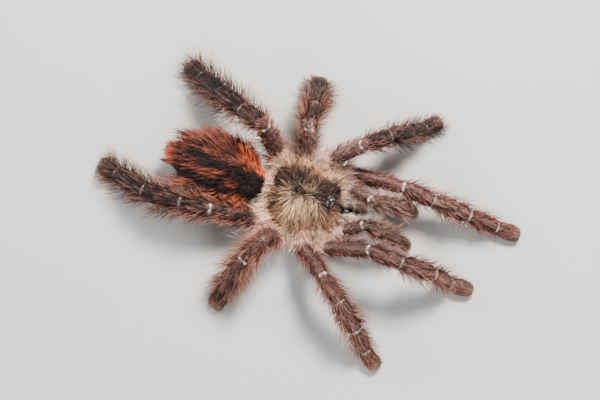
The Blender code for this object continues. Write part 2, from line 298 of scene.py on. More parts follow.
class Places:
    """Where points lie on the animal, as arrays with one row for each point.

    node: which of FLESH the point belongs to.
    lie: the way its hair is combed, before it is laid on the skin.
    along, around: where it lies on its own part, from 0 to 1 each.
    upper, aside: how far it lies on the part's top and how far to one side, from -1 to 1.
    segment: for limbs, 0 is the trochanter, 1 the femur and so on, with TARSUS for the last.
    walked: for limbs, the distance from the hip.
    room: for limbs, the distance to the next pale ring towards the toe.
    run, cross: distances along the comb and across it, which locks of hair are cut by.
    """

    def __init__(self, points, node):
        count = len(points)
        self.points, self.node = points, node
        self.lie = np.tile([0.0, 1.0, 0.0], (count, 1))
        self.along, self.around, self.upper, self.aside, self.walked = np.zeros((5, count))
        self.segment, self.room = np.full(count, -1), np.full(count, FAR)
        self.run = points[:, 1].copy()
        self.cross = points[:, 0] + TOP_SHIFT * np.sign(points[:, 2] - MID_HEIGHT)
        for limb in LIMB_NODES:
            self.place_on_limb(self.of(*LIMB_NODES[limb]), limb)
        for name in TRUNK:
            self.place_on_trunk(self.of(name), name)
        self.comb_trunk()

    def of(self, *names):
        """Which points belong to the named solids."""
        return np.isin(self.node, [FLESH.index(name) for name in names])

    def place_on_limb(self, chosen, limb):
        points, line = self.points[chosen], LINES[limb]
        shares, offsets, ways = [], [], []
        for start, end in zip(line, line[1:]):
            share = share_along(points, start, end)
            shares.append(share)
            offsets.append(points - (start + share[:, None] * (end - start)))
            ways.append(unit(end - start))
        shares, offsets, ways = np.array(shares), np.array(offsets), np.array(ways)
        gaps = np.linalg.norm(offsets, axis=2)
        best, rows = gaps.argmin(axis=0), np.arange(len(points))
        weight = np.exp(-(gaps - gaps.min(axis=0)) / BEND_BLEND)
        self.lie[chosen] = unit(weight.T @ ways)
        axis = ways[best]
        upward = unit(np.array([0.0, 0.0, 1.0]) - axis * axis[:, 2:])
        offset = unit(offsets[best, rows])
        self.along[chosen] = share = shares[best, rows]
        self.upper[chosen] = upper = dot(offset, upward)
        self.aside[chosen] = aside = dot(offset, np.cross(axis, upward))
        self.around[chosen] = around = self.turn(upper, aside)
        self.segment[chosen] = np.where(best == len(line) - 2, TARSUS, best)
        lengths = np.linalg.norm(np.diff(line, axis=0), axis=1)
        begins = np.concatenate([[0.0], WALKS[limb]])[:-1]
        self.walked[chosen] = self.run[chosen] = walked = begins[best] + share * lengths[best]
        rings = WALKS[limb][1:-1] - RING_PLACE - RING_MARGIN
        ahead = rings[None] - walked[:, None]
        self.room[chosen] = np.where(ahead > 0, ahead, FAR).min(axis=1)
        self.cross[chosen] = around * LIMB_GIRTH

    def place_on_trunk(self, chosen, name):
        """Shares of the part's box: along runs from its front to its rear."""
        centre, half = np.array(centre_of(name)), np.array(half_size_of(name))
        inside = (self.points[chosen] - centre) / half
        self.along[chosen] = 0.5 + 0.5 * inside[:, 1]
        self.upper[chosen] = np.clip(inside[:, 2], -1, 1)
        self.aside[chosen] = np.clip(inside[:, 0], -1, 1)
        self.around[chosen] = self.turn(inside[:, 2], inside[:, 0])

    @staticmethod
    def turn(upper, aside):
        """A share of a full turn that starts underneath."""
        return 0.5 + np.arctan2(aside, upper) / (2 * math.pi)

    def comb_trunk(self):
        """The lie of the hair on the trunk's parts: from the pit, from the breastplate, back."""
        shield, belly, abdomen = self.of("carapace"), self.of(*BELLY), self.of("abdomen")
        away, nearest = from_parting(self.points)
        self.lie[shield] = unit(away)[shield]
        self.run[shield] = np.linalg.norm(away, axis=1)[shield]
        turn = np.arctan2(away[:, 0], away[:, 1])
        self.cross[shield] = (turn * 4.5 * MM - np.sign(away[:, 0]) * nearest)[shield]
        out = self.points - np.array(centre_of("sternum_and_coxae"))
        out[:, 2] = 0.0
        rear = step(self.points[:, 1], 3 * MM, 9 * MM)[:, None]
        self.lie[belly] = unit(unit(out) + np.array([0.0, 1.6, 0.0]) * rear)[belly]
        front, back = step(self.along, 0.55, 0.0), step(self.along, 0.7, 1.0)
        splay = self.aside * (0.5 + 1.5 * front - 0.3 * back)
        outward = np.stack([splay, np.ones(len(away)), np.zeros(len(away))], axis=1)
        self.lie[abdomen] = unit(outward)[abdomen]
        self.lie[self.of(*CHELICERAE)] = unit(np.array([0.0, -1.0, -0.45]))
        self.lie[self.of("eye_mound")] = np.array([0.0, -1.0, 0.0])
        for side in SIDES:
            hip = self.of(f"leg_4_{side}_femur") & (self.walked < HIND_HIP)
            self.lie[hip] = unit(self.lie[hip] + np.array([0.0, 1.3, 0.0]))


# ---- Markings ----

MARKS = ("ring", "dark", "warm", "pale", "bare")


def markings(places):
    """How far each point is ringed or carries a painted highlight, dark, warm, pale and bare of
    hair, from 0 to 1 each. Dark holds some painted shade and pale some painted light.
    """
    marks = {name: np.zeros(len(places.points)) for name in MARKS}
    for limb in LIMB_NODES:
        mark_limb(places, limb, marks)
    mark_shield(places, marks)
    mark_abdomen(places, marks)
    mark_jaws(places, marks)
    mark_belly(places, marks)
    return {name: np.clip(values, 0, 1) for name, values in marks.items()}


def put(marks, here, **values):
    for name, shares in values.items():
        marks[name][here] = shares


# For each limb: how dark it is, and how strong the pale ring is at the far end of each segment. How
# much darker the left second and third legs are than their right mates is painted shade.
LIMB_LOOKS = {
    "leg_1_left": (0.12, (1.0, 0.55, 0.95, 0.65)), "leg_1_right": (0.25, (1.0, 0.6, 0.9, 0.55)),
    "leg_2_left": (0.95, (1.0, 0.42, 0.4, 0.32)), "leg_2_right": (0.2, (1.0, 0.6, 0.9, 0.65)),
    "leg_3_left": (1.3, (1.0, 0.3, 0.3, 0.2)), "leg_3_right": (0.38, (0.35, 1.0, 0.35, 0.2)),
    "leg_4_left": (1.25, (1.0, 0.45, 0.4, 0.25)), "leg_4_right": (1.05, (1.0, 0.5, 0.5, 0.25)),
    "palp_left": (0.12, (1.0, 0.35)), "palp_right": (0.3, (1.0, 0.4)),
}
# Legs whose femur tops get painted light: rosier and paler where light fell on them.
LIT_FEMUR_LEGS = ("leg_2_left", "leg_3_left")
SEGMENT_DARKNESS = np.array([0.0, 0.1, 0.65, 0.85, 0.85, 0.7])
PAIR_WARMTH = {"leg_1": 0.3, "leg_2": 0.4, "leg_3": 0.8, "leg_4": 0.9, "palp_": 0.4}


def pair_of(limb):
    return limb[:5]


def limb_rings(places, here, limb):
    """The pale rings at the joints, of which the strongest is a bold pair of knobs."""
    line, found = LINES[limb], np.zeros(here.sum())
    lobes = bump(np.abs(places.aside[here]), 0.5, 0.22)
    strengths = LIMB_LOOKS[limb][1]
    for number, strength in enumerate(strengths, 1):
        bold = strength == max(strengths)
        shape = 0.4 + 0.6 * lobes if bold else 0.75 + 0.25 * lobes
        width = RING_WIDTH * (1.1 + 0.7 * lobes) if bold else RING_WIDTH
        axis = unit(line[number + 1] - line[number])
        beyond = (places.points[here] - line[number + 1]) @ axis + RING_PLACE
        near = np.abs(places.walked[here] - WALKS[limb][number]) < 8 * RING_WIDTH
        found += strength * shape * near * bump(beyond, 0.0, width)
    return found * step(places.upper[here], -0.3, 0.2)


def mark_limb(places, limb, marks):
    """Rose to black segments with pale rings, and a pale hip and toe. The tops of the right limbs'
    femurs carry painted shade, and those of the left second and third legs painted light.
    """
    here = places.of(*LIMB_NODES[limb])
    upper, segment, along = places.upper[here], places.segment[here], places.along[here]
    aside = np.abs(places.aside[here])
    left, dark, warmth = limb.endswith("left"), LIMB_LOOKS[limb][0], PAIR_WARMTH[pair_of(limb)]
    front = places.aside[here] * (1 if left else -1)
    rings = limb_rings(places, here, limb)
    patches = 0.3 * ripple(places.points[here], 3.5 * MM, 11)
    femur = (segment == 1) * step(upper, -0.2, 0.5)
    # Painted shade: the tops of the right limbs' femurs are made darker.
    darkness = dark * (SEGMENT_DARKNESS[segment] + patches) + 0.24 * femur * (not left)
    darkness += 0.4 * (1 - warmth) * step(front, 0.25, 0.8)
    rose_and_lit_femur = 0.2 * max(0, 1 - dark) * bump(front, -0.1, 0.3) * step(upper, 0.0, 0.6)
    # Painted light: the femur tops of the left second and third legs are made rosier and paler.
    rose_and_lit_femur = rose_and_lit_femur + 0.13 * femur * (limb in LIT_FEMUR_LEGS)
    rose_and_lit_femur = np.where((segment > 0) & (segment < TARSUS), rose_and_lit_femur, 0.0)
    edge = np.where(segment == TARSUS, bump(along, 0.92, 0.12), 0.0)
    tip = np.where(segment == TARSUS, step(along, 0.45, 1.0), 0.0)
    toe = (segment == TARSUS) * max(0, 1 - 0.8 * dark)
    cream = np.where(segment == 0, 0.85, 0.0)
    cream = cream + 0.7 * bump(places.walked[here], WALKS[limb][0], 1.0 * MM)
    put(
        marks, here, ring=rings, bare=step(rings, 0.25, 0.5),
        dark=darkness + 0.35 * step(upper, 0.0, -0.8),
        warm=warmth * (0.08 + 0.92 * aside**1.5) + 0.5 * edge + 0.6 * toe,
        pale=0.85 * cream * step(upper, -0.7, 0.2) + 0.3 * tip + rose_and_lit_femur + 0.05 * toe,
    )
    if limb == "palp_right":
        naked = ((segment == 0) | (segment == 1) & (along < 0.3)) * step(upper, -0.2, 0.3)
        for name, share in (("bare", 0.8 * naked), ("pale", naked)):
            marks[name][here] = np.maximum(marks[name][here], share)


def mark_shield(places, marks):
    """A tan rim, a darker middle in streaks, a black pit, a black mask round the eyes, and a darker
    left half that is partly painted shade.
    """
    here = places.of("carapace", "eye_mound")
    points = places.points[here]
    half = half_size_of("carapace")
    away = (points - np.array(FOVEA))[:, :2]
    reach = np.linalg.norm(away / np.array([half.x, half.y * 1.25]), axis=1)
    pit = bump(away[:, 0], 0.0, 1.3 * MM) * bump(away[:, 1], 0.0, 0.7 * MM)
    brow = points - np.array(centre_of("eye_mound"))
    wide, deep = (brow[:, 0] - 1.5 * MM) / 3.3, (brow[:, 1] - 0.9 * MM) / 2.1
    ragged = 0.12 * ripple(points, 1.6 * MM, 9) * MM
    mask = step(np.hypot(wide, deep) + ragged, 1.35 * MM, 0.9 * MM)
    lane, run = 2.0 * places.cross[here], 0.25 * places.run[here]
    lanes = np.stack([lane, run, np.zeros(len(points))], axis=1)
    streaks = np.abs(ripple(lanes, 3.0 * MM, 5))
    reach += 0.1 * ripple(points, 2.4 * MM, 8)
    middle, rim = step(reach, 1.0, 0.55), step(reach, 0.6, 1.0) * (1 - mask)
    # The left half of the middle is painted darker: partly painted shade, partly the way its hair
    # lies.
    left = step(away[:, 0] + 0.8 * MM * ripple(points, 3.0 * MM, 6), -0.6 * MM, 1.4 * MM)
    dusk_and_shade = middle * (0.05 + 0.74 * left + 0.3 * streaks)
    line = bump(away[:, 0], 0.0, 0.5 * MM) * step(away[:, 1], 0.5 * MM, -0.5 * MM) * middle
    rear = step(away[:, 1], 0.3 * MM, 3.0 * MM)
    brim = step(brow[:, 1], -1.0 * MM, -1.8 * MM)
    cream = 0.74 * middle * (1 - left) * (1 - mask) * (1 - line) * (1 - pit) * (1 - 0.9 * rear)
    socket = step(np.linalg.norm(brow, axis=1), 1.9 * MM, 1.2 * MM)
    dark = 1.2 * pit + 1.5 * mask + dusk_and_shade + 1.3 * line + 0.42 * rear * middle
    put(
        marks, here, bare=0.95 * socket, dark=dark + 1.2 * socket,
        pale=(0.12 * rim + cream) * (1 - brim) * (1 - socket),
        warm=(0.1 + 0.85 * rim + 0.4 * brim + 0.25 * rear) * (1 - socket),
    )
    put(marks, places.of("eye_mound"), dark=1.0, warm=0.0, pale=0.0)


# The abdomen's markings as lines on its back. Each has its strength, its start and its end, as
# shares of its length and of its half width, and its half width in millimetres.
SADDLE = (
    (1.0, (0.0, -0.36), (0.14, -0.33), 3.9),
    (1.0, (0.1, -0.08), (0.5, -0.03), 1.3),
    (0.75, (0.5, -0.03), (0.78, 0.22), 1.1),
    (1.0, (0.1, -0.5), (0.52, -0.53), 1.3),
    (0.85, (0.52, -0.53), (0.85, -0.4), 0.9),
)
STREAK = ((0.9, (0.27, -0.36), (0.62, -0.26), 0.75),)
SHOULDERS = ((1.0, (0.02, 0.22), (0.25, 0.46), 1.9), (1.0, (0.0, -0.76), (0.24, -0.72), 1.35))


def on_lines(along, across, lines):
    """Each line's strength on it, falling to 0 at its width, and the most where lines meet."""
    size = half_size_of("abdomen")
    scale = np.array([2 * size.y, size.x])
    points = np.stack([along, across], axis=1) * scale
    found = []
    for strength, start, end, width in lines:
        start, end, width = np.array(start) * scale, np.array(end) * scale, width * MM
        share = share_along(points, start, end)
        gap = np.linalg.norm(points - start - share[:, None] * (end - start), axis=1)
        found.append(strength * step(gap, 1.25 * width, 0.6 * width))
    return np.max(found, axis=0)


def mark_abdomen(places, marks):
    """A black saddle forked round a brown streak, an orange patch on each shoulder, red behind."""
    here = places.of("abdomen", *SPINNERETS)
    points, upper = places.points[here], places.upper[here]
    across = (points[:, 0] - centre_of("abdomen").x) / half_size_of("abdomen").x
    along = places.along[here] + 0.02 * ripple(points, 2.4 * MM, 3)
    bent = across + 0.05 * ripple(points, 2.4 * MM, 4)
    black, streak, shoulders = (on_lines(along, bent, k) for k in (SADDLE, STREAK, SHOULDERS))
    black *= (1 - shoulders) * (1 - 0.8 * streak)
    under = step(upper, -0.15, -0.5)
    tail = step(along, 0.82, 0.95)
    edge = 0.8 * step(along, 0.05, 0.025)
    collar = np.maximum(step(along, 0.3, 0.12) * step(upper, 0.0, -0.35), edge)
    brown = 0.42 * (1 - shoulders) * (1 - 0.8 * tail)
    flank = step(np.abs(across), 0.6, 0.95)
    warmth = 0.12 + 1.1 * shoulders + 0.45 * tail + 0.35 * streak + 0.3 * flank
    put(
        marks, here, pale=0.9 * collar, dark=np.maximum(1.35 * black, brown) + 0.8 * under,
        warm=warmth * (1 - under) * (1 - black),
    )
    put(marks, places.of(*SPINNERETS), dark=0.3, warm=0.6)


def mark_jaws(places, marks):
    """Black and bare between the jaws, a painted white highlight beside their roots, tan outside.
    """
    jaw = places.of(*CHELICERAE)
    along, upper = places.along[jaw], places.upper[jaw]
    aside = places.points[jaw][:, 0] - FOVEA.x
    gap = np.abs(aside)
    inner = step(gap, 1.7 * MM, 0.8 * MM) * step(along, 0.15, 0.5)
    naked = np.maximum(inner, step(along, 0.6, 0.8) * step(gap, 2.5 * MM, 1.9 * MM))
    # Painted highlights: a white spot beside each jaw's root, on bare skin that is raised and
    # coloured like the pale rings.
    glint_place = np.where(aside > 0, 0.9 * MM, 2.9 * MM)
    jaw_glint = bump(gap, glint_place, 0.5 * MM) * bump(along, 0.82, 0.13) * step(upper, 0.1, 0.5)
    front = step(along, 0.3, 0.05)
    put(
        marks, jaw, ring=jaw_glint, bare=np.maximum(naked, jaw_glint), warm=0.3,
        dark=naked + 0.3 * front + 0.4 * step(upper, 0.0, -0.6),
        pale=np.where(aside > 0, 0.6, 0.95) * (1 - naked) * (1 - front),
    )


def mark_belly(places, marks):
    """Cream above, where the hips show, and dark below."""
    belly = places.of(*BELLY)
    upper = places.upper[belly]
    rear = step(places.points[belly][:, 1], 3 * MM, 8 * MM)
    pale = (0.65 + 0.35 * rear) * step(upper, -0.3, 0.4)
    put(marks, belly, pale=pale, dark=0.85 * step(upper, 0.1, -0.6), warm=0.45)


# ---- Materials ----

# The colour of the pale rings at the limbs' joints, also used for the painted highlights at the jaw
# roots.
RING_AND_GLINT_COLOUR = (0.88, 0.68, 0.57)


def new_material(name):
    material = bpy.data.materials.new(name)
    material.use_nodes = True
    return material, material.node_tree, material.node_tree.nodes["Principled BSDF"]


def feed(tree, node, inputs):
    """Sets a node's inputs, each from a socket, a number, a vector or a colour."""
    for key, value in inputs.items():
        socket = node.inputs[key]
        if isinstance(value, bpy.types.NodeSocket):
            tree.links.new(value, socket)
        else:
            socket.default_value = (*value, 1.0) if socket.type == "RGBA" else value


def add_node(tree, kind, inputs, output, **settings):
    node = tree.nodes.new("ShaderNode" + kind)
    for name, value in settings.items():
        setattr(node, name, value)
    feed(tree, node, inputs)
    return node.outputs[output]


def attribute(tree, name):
    return add_node(tree, "Attribute", {}, "Fac", attribute_name=name)


def noise(tree, scale, detail, stretch=(1.0, 1.0, 1.0)):
    """Noise on Object coordinates, with its scale in waves for each metre."""
    places = add_node(tree, "TexCoord", {}, "Object")
    mapped = add_node(tree, "Mapping", {"Vector": places, "Scale": stretch}, "Vector")
    inputs = {"Vector": mapped, "Scale": scale, "Detail": detail}
    return add_node(tree, "TexNoise", inputs, "Fac")


def product(tree, first, second):
    inputs = {0: first, 1: second}
    return add_node(tree, "Math", inputs, "Value", operation="MULTIPLY", use_clamp=True)


def mixed(tree, share, first, second, blend="MIX"):
    """A mix of two colours."""
    inputs = {0: share, 6: first, 7: second}
    return add_node(tree, "Mix", inputs, 2, data_type="RGBA", blend_type=blend)


def spread(tree, value, low, high):
    """A share from 0 to 1 spread over low to high."""
    inputs = {"Value": value, "To Min": low, "To Max": high}
    return add_node(tree, "MapRange", inputs, "Result")


def marked_colour(tree, settings, base, tone):
    """The markings of a region in its own base, warm, dark and pale colours, lit by tone."""
    colour = base
    for mark in ("warm", "dark", "pale"):
        colour = mixed(tree, attribute(tree, mark), colour, getattr(settings, f"{mark}_colour"))
    return mixed(tree, 1.0, colour, spread(tree, tone, 0.4, 1.6), "MULTIPLY")


def coat_material(name, style):
    """Hair: dark at the root with painted shade, paler towards the tip, and each hair a little
    different.
    """
    material, tree, shader = new_material(name)
    colour = marked_colour(tree, style, style.base_colour, attribute(tree, "tone"))
    tip = attribute(tree, "tip")
    fade = product(tree, tip, attribute(tree, "fade"))
    lit = mixed(tree, fade, colour, style.tip_colour)
    # Painted shade and light along each hair: from the root shade at the root to 1.25 at the tip,
    # lifted towards 1.2 where the coat is pale.
    light = product(tree, attribute(tree, "pale"), 0.7)
    shade = mixed(tree, light, spread(tree, tip, style.root_shade, 1.25), (1.2, 1.2, 1.2))
    shaded = mixed(tree, 1.0, lit, shade, "MULTIPLY")
    varied = mixed(tree, product(tree, noise(tree, 2600.0, 2.0), 0.3), shaded, (0.0, 0.0, 0.0))
    rough = style.roughness
    feed(tree, shader, {"Base Color": varied, "Roughness": rough, "Specular IOR Level": 0.3})
    return material


def skin_material(settings):
    """Bare skin under the coat, glossier where it shows, with pale membrane at the joints and
    painted white highlights at the jaw roots.
    """
    material, tree, shader = new_material("bare_skin")
    colour = marked_colour(tree, settings, settings.leg_colour, noise(tree, 1800.0, 6.0))
    fuzz = {"Height": noise(tree, 2200.0, 2.0), "Distance": 0.05 * MM, "Strength": 0.35}
    feed(tree, shader, {
        "Base Color": mixed(tree, attribute(tree, "ring"), colour, RING_AND_GLINT_COLOUR),
        "Roughness": spread(tree, attribute(tree, "bare"), settings.roughness, 0.3),
        "Specular IOR Level": 0.3,
        "Normal": add_node(tree, "Bump", fuzz, "Normal"),
    })
    return material


def glass_material(name, colour, roughness, coat=1.0):
    """A dark, clouded lens under a clear coat."""
    material, tree, shader = new_material(name)
    deeper = [0.5 * value for value in colour]
    feed(tree, shader, {
        "Base Color": mixed(tree, noise(tree, 2400.0, 2.0), colour, deeper),
        "Roughness": roughness, "Coat Weight": coat, "Coat Roughness": 0.03,
    })
    return material


def fang_material(settings):
    """Polished horn with a grain along its length."""
    material, tree, shader = new_material("fang")
    grain = noise(tree, 900.0, 3.0, (1.0, 0.15, 1.0))
    colour = mixed(tree, grain, settings.colour, settings.tip_colour)
    feed(tree, shader, {"Base Color": colour, "Roughness": 0.16, "Coat Weight": 0.6})
    return material


# ---- Settings ----

LAYERS = ("under", "top", "guard")


def setting(make, **limits):
    return lambda name, description, default: make(
        name=name, description=description, default=default, **limits
    )


colour_setting = setting(FloatVectorProperty, subtype="COLOR", min=0.0, max=1.0)
length_setting = setting(FloatProperty, unit="LENGTH", min=0.0, precision=5)
angle_setting = setting(FloatProperty, subtype="ANGLE")
power_setting = setting(FloatProperty, unit="POWER")
share_setting = setting(FloatProperty, min=0.0, max=1.0)
count_setting = setting(IntProperty, min=0)


def coat_settings(title, counts, lengths, lifts, widths, colours, tip):
    """A group of settings for one region's coat, with that region's own defaults.

    Each of counts, lengths, lifts and widths is for the under hairs, top hairs and guard hairs,
    in millimetres and degrees.
    """
    fields = {}
    for kind, count, length, lift, width in zip(LAYERS, counts, lengths, lifts, widths):
        label, lean = kind.capitalize(), math.radians(lift)
        fields |= {
            f"{kind}_hairs": count_setting(f"{label} hairs", "How many on each piece", count),
            f"{kind}_length": length_setting(f"{label} length", "Length of each", length * MM),
            f"{kind}_lift": angle_setting(f"{label} lift", "How far they lean off the skin", lean),
            f"{kind}_width": length_setting(f"{label} width", "Thickness at the root", width * MM),
        }
    base, dark, warm, pale = colours
    tip_colour, tip_paleness, root_shade = tip
    fields |= {
        "base_colour": colour_setting("Base", "Colour of most hairs", base),
        "dark_colour": colour_setting("Dark", "Colour of the dark markings", dark),
        "warm_colour": colour_setting("Warm", "Colour of the reddish markings", warm),
        "pale_colour": colour_setting("Pale", "Colour of the fringes", pale),
        "tip_colour": colour_setting("Tips", "Colour that hairs fade to at the tip", tip_colour),
        "tip_paleness": share_setting("Tip share", "How much of it the tip takes", tip_paleness),
        "root_shade": share_setting("Root shade", "Brightness left at the root", root_shade),
        "roughness": share_setting("Roughness", "Dullness of the hair", 0.42),
    }
    title = f"Tarantula{title}CoatSettings"
    return type(title, (bpy.types.PropertyGroup,), {"__annotations__": fields})


LegCoatSettings = coat_settings(
    "Leg", (8500, 4600, 950), (0.85, 1.15, 3.5), (20, 20, 46), (0.12, 0.13, 0.14),
    ((0.3, 0.096, 0.077), (0.015, 0.011, 0.012), (0.38, 0.115, 0.05), (0.92, 0.56, 0.42)),
    ((0.86, 0.5, 0.39), 0.75, 0.2),
)
PalpCoatSettings = coat_settings(
    "Palp", (4200, 2200, 650), (0.85, 1.2, 2.8), (22, 26, 42), (0.11, 0.12, 0.15),
    ((0.26, 0.11, 0.08), (0.016, 0.011, 0.012), (0.38, 0.14, 0.07), (0.92, 0.66, 0.52)),
    ((0.82, 0.54, 0.42), 0.8, 0.2),
)
ShieldCoatSettings = coat_settings(
    "Shield", (7000, 6300, 1500), (1.2, 2.1, 3.0), (12, 17, 28), (0.13, 0.15, 0.15),
    ((0.34, 0.16, 0.098), (0.01, 0.007, 0.007), (0.55, 0.21, 0.08), (0.96, 0.62, 0.37)),
    ((0.92, 0.58, 0.36), 0.7, 0.2),
)
AbdomenCoatSettings = coat_settings(
    "Abdomen", (9800, 9800, 2000), (1.4, 2.0, 5.2), (22, 24, 40), (0.13, 0.14, 0.17),
    ((0.15, 0.027, 0.017), (0.003, 0.002, 0.002), (0.95, 0.14, 0.03), (0.95, 0.66, 0.43)),
    ((0.92, 0.38, 0.25), 0.58, 0.16),
)
BellyCoatSettings = coat_settings(
    "Belly", (5200, 4200, 2600), (1.0, 1.6, 2.8), (22, 30, 40), (0.12, 0.13, 0.15),
    ((0.36, 0.165, 0.1), (0.014, 0.009, 0.009), (0.55, 0.23, 0.11), (0.97, 0.63, 0.4)),
    ((0.95, 0.62, 0.42), 0.75, 0.25),
)
JawCoatSettings = coat_settings(
    "Jaw", (2400, 2000, 600), (0.9, 1.4, 2.2), (20, 26, 38), (0.11, 0.12, 0.12),
    ((0.5, 0.27, 0.2), (0.008, 0.006, 0.007), (0.6, 0.27, 0.17), (0.97, 0.76, 0.62)),
    ((0.95, 0.7, 0.56), 0.8, 0.4),
)


class SkinSettings(bpy.types.PropertyGroup):
    voxel: length_setting("Voxel", "Grain that the skin is drawn with", 0.35 * MM)
    smoothing: count_setting("Smoothing", "Rounds of smoothing under the coat", 5)
    knob: length_setting("Knobs", "How far the pale knobs at the joints stand up", 0.22 * MM)
    roughness: share_setting("Roughness", "Dullness of the bare skin", 0.42)
    leg_colour: colour_setting("Legs", "Bare skin of the limbs", (0.05, 0.028, 0.03))
    dark_colour: colour_setting("Dark", "Bare skin of the dark parts", (0.012, 0.008, 0.008))
    warm_colour: colour_setting("Warm", "Bare skin of the reddish parts", (0.14, 0.045, 0.03))
    pale_colour: colour_setting("Pale", "Bare membrane at the joints", (0.7, 0.52, 0.46))


class EyeSettings(bpy.types.PropertyGroup):
    front_colour: colour_setting("Front eyes", "The two round front eyes", (0.004, 0.004, 0.005))
    side_colour: colour_setting("Side eyes", "The six smaller eyes", (0.02, 0.019, 0.02))
    rim_colour: colour_setting("Rims", "The ring round each eye", (0.1, 0.085, 0.075))


class FangSettings(bpy.types.PropertyGroup):
    colour: colour_setting("Colour", "Colour of the fangs", (0.012, 0.005, 0.004))
    tip_colour: colour_setting("Tips", "Colour of the fang tips", (0.1, 0.02, 0.008))


class StageSettings(bpy.types.PropertyGroup):
    distance: length_setting("Distance", "From the camera to the animal", 0.45)
    framed_width: length_setting("Framed width", "Width that the camera frames", 0.1463)
    tip: angle_setting("Tip", "Camera's lean to the animal's right", math.radians(12))
    turn: angle_setting("Turn", "How far the head points below frame right", math.radians(17))
    floor_colour: colour_setting("Floor", "Colour of the floor", (0.5, 0.485, 0.46))
    key: power_setting("Key light", "Strength in watts", 8.6)
    fill: power_setting("Fill light", "Strength in watts", 2.6)
    sky: setting(FloatProperty)("Sky", "Strength of the light all round", 0.32)


SETTINGS = {
    "tarantula_skin": SkinSettings,
    "tarantula_leg_coat": LegCoatSettings,
    "tarantula_palp_coat": PalpCoatSettings,
    "tarantula_shield_coat": ShieldCoatSettings,
    "tarantula_abdomen_coat": AbdomenCoatSettings,
    "tarantula_belly_coat": BellyCoatSettings,
    "tarantula_jaw_coat": JawCoatSettings,
    "tarantula_eyes": EyeSettings,
    "tarantula_fangs": FangSettings,
    "tarantula_stage": StageSettings,
}

# ---- The skin ----

# The radii of the balls that fill the joints of legs and of palps.
JOINT_BALL = 1.55 * MM
PALP_BALL = 1.15 * MM


def solid_tree():
    """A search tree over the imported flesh, and the number in FLESH that each face belongs to."""
    corners, faces, owners = [], [], []
    for number, node in enumerate(FLESH):
        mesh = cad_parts[node].data
        first = len(corners)
        corners.extend(vertex.co for vertex in mesh.vertices)
        faces.extend([first + index for index in face.vertices] for face in mesh.polygons)
        owners.extend([number] * len(mesh.polygons))
    return BVHTree.FromPolygons(corners, faces), np.array(owners)


def owners_of(points, tree, owners):
    return owners[np.array([tree.find_nearest(Vector(point))[2] for point in points])]


def joined_flesh():
    """Copies of the flesh solids in one mesh, in edit mode, with all of it selected."""
    skin = add_object("skin", bpy.data.meshes.new("skin"))
    copies = [add_object(node + "_copy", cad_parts[node].data.copy()) for node in FLESH]
    select_only(skin)
    for copy in copies:
        copy.select_set(True)
    bpy.ops.object.join()
    skin.data.materials.clear()
    edit_all()
    merge_doubles()
    return skin


def add_ball(centre, size):
    """A ball of flesh in the mesh that is being edited. Size is its three half-sizes."""
    bpy.ops.mesh.primitive_uv_sphere_add(
        segments=16, ring_count=10, radius=1.0, location=centre, scale=size
    )


def fill_joints():
    """Flesh inside the gaps between the solids, so that the skin runs over them unbroken."""
    for limb, line in LINES.items():
        for joint in line[:-1]:
            add_ball(joint, [PALP_BALL if limb in PALPS else JOINT_BALL] * 3)
    shield, half = centre_of("carapace"), half_size_of("carapace")
    height = (shield.z + centre_of("sternum_and_coxae").z) / 2
    add_ball((shield.x, shield.y, height), (0.78 * half.x, 0.86 * half.y, 2.6 * MM))
    waist = half_size_of("pedicel")
    add_ball(centre_of("pedicel"), (waist.x * 0.9, waist.y * 1.7, waist.z * 0.9))
    for jaw in CHELICERAE:
        low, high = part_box(jaw)
        root = ((low.x + high.x) / 2, high.y, (low.z + 2 * high.z) / 3)
        add_ball(root, (1.2 * MM, 1.6 * MM, 2.0 * MM))
    for spinneret in SPINNERETS:
        low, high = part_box(spinneret)
        root = ((low.x + high.x) / 2, low.y + 1.0 * MM, high.z - 0.9 * MM)
        add_ball(root, (0.9 * MM, 2.2 * MM, 0.9 * MM))
    mound = half_size_of("eye_mound")
    sunk = centre_of("eye_mound") - Vector((0, 0, 0.35 * MM))
    add_ball(sunk, (mound.x * 1.15, mound.y * 1.2, mound.z))


def depth_by_node():
    """How far the skin lies under each solid of FLESH."""
    depths = []
    for node in FLESH:
        kind = next(kind for kind in COAT_DEPTHS if kind in node)
        share = PALP_DEPTH_SHARE if node.startswith("palp") else 1.0
        depths.append(COAT_DEPTHS[kind] * MM * share)
    return np.array(depths)


def smooth_by(obj, rounds):
    smooth = obj.modifiers.new("smooth", "SMOOTH")
    smooth.factor = 0.5
    smooth.iterations = rounds
    apply_modifiers(obj)


def sink_skin(mesh, tree, owners):
    """Draws the skin in under the surface of the solids by the depth of the coat."""
    points = vertex_array(mesh)
    node = owners_of(points, tree, owners)
    depths = depth_by_node()[node]
    depths[Places(points, node).segment == 0] = HIP_DEPTH
    set_points(mesh, points - vertex_array(mesh, "vector") * depths[:, None])


def pit_depth(points):
    """The pit in the back and the shallow grooves that run from it."""
    away = points - np.array(FOVEA)
    pit = np.exp(-((away[:, 0] / (0.9 * MM)) ** 2) - (away[:, 1] / (0.45 * MM)) ** 2)
    turn = np.arctan2(away[:, 0], away[:, 1])
    reach = np.linalg.norm(away[:, :2], axis=1)
    grooves = np.cos(turn * 8) ** 8 * bump(reach, 3.2 * MM, 2.2 * MM)
    return pit * 0.9 * MM + grooves * 0.16 * MM


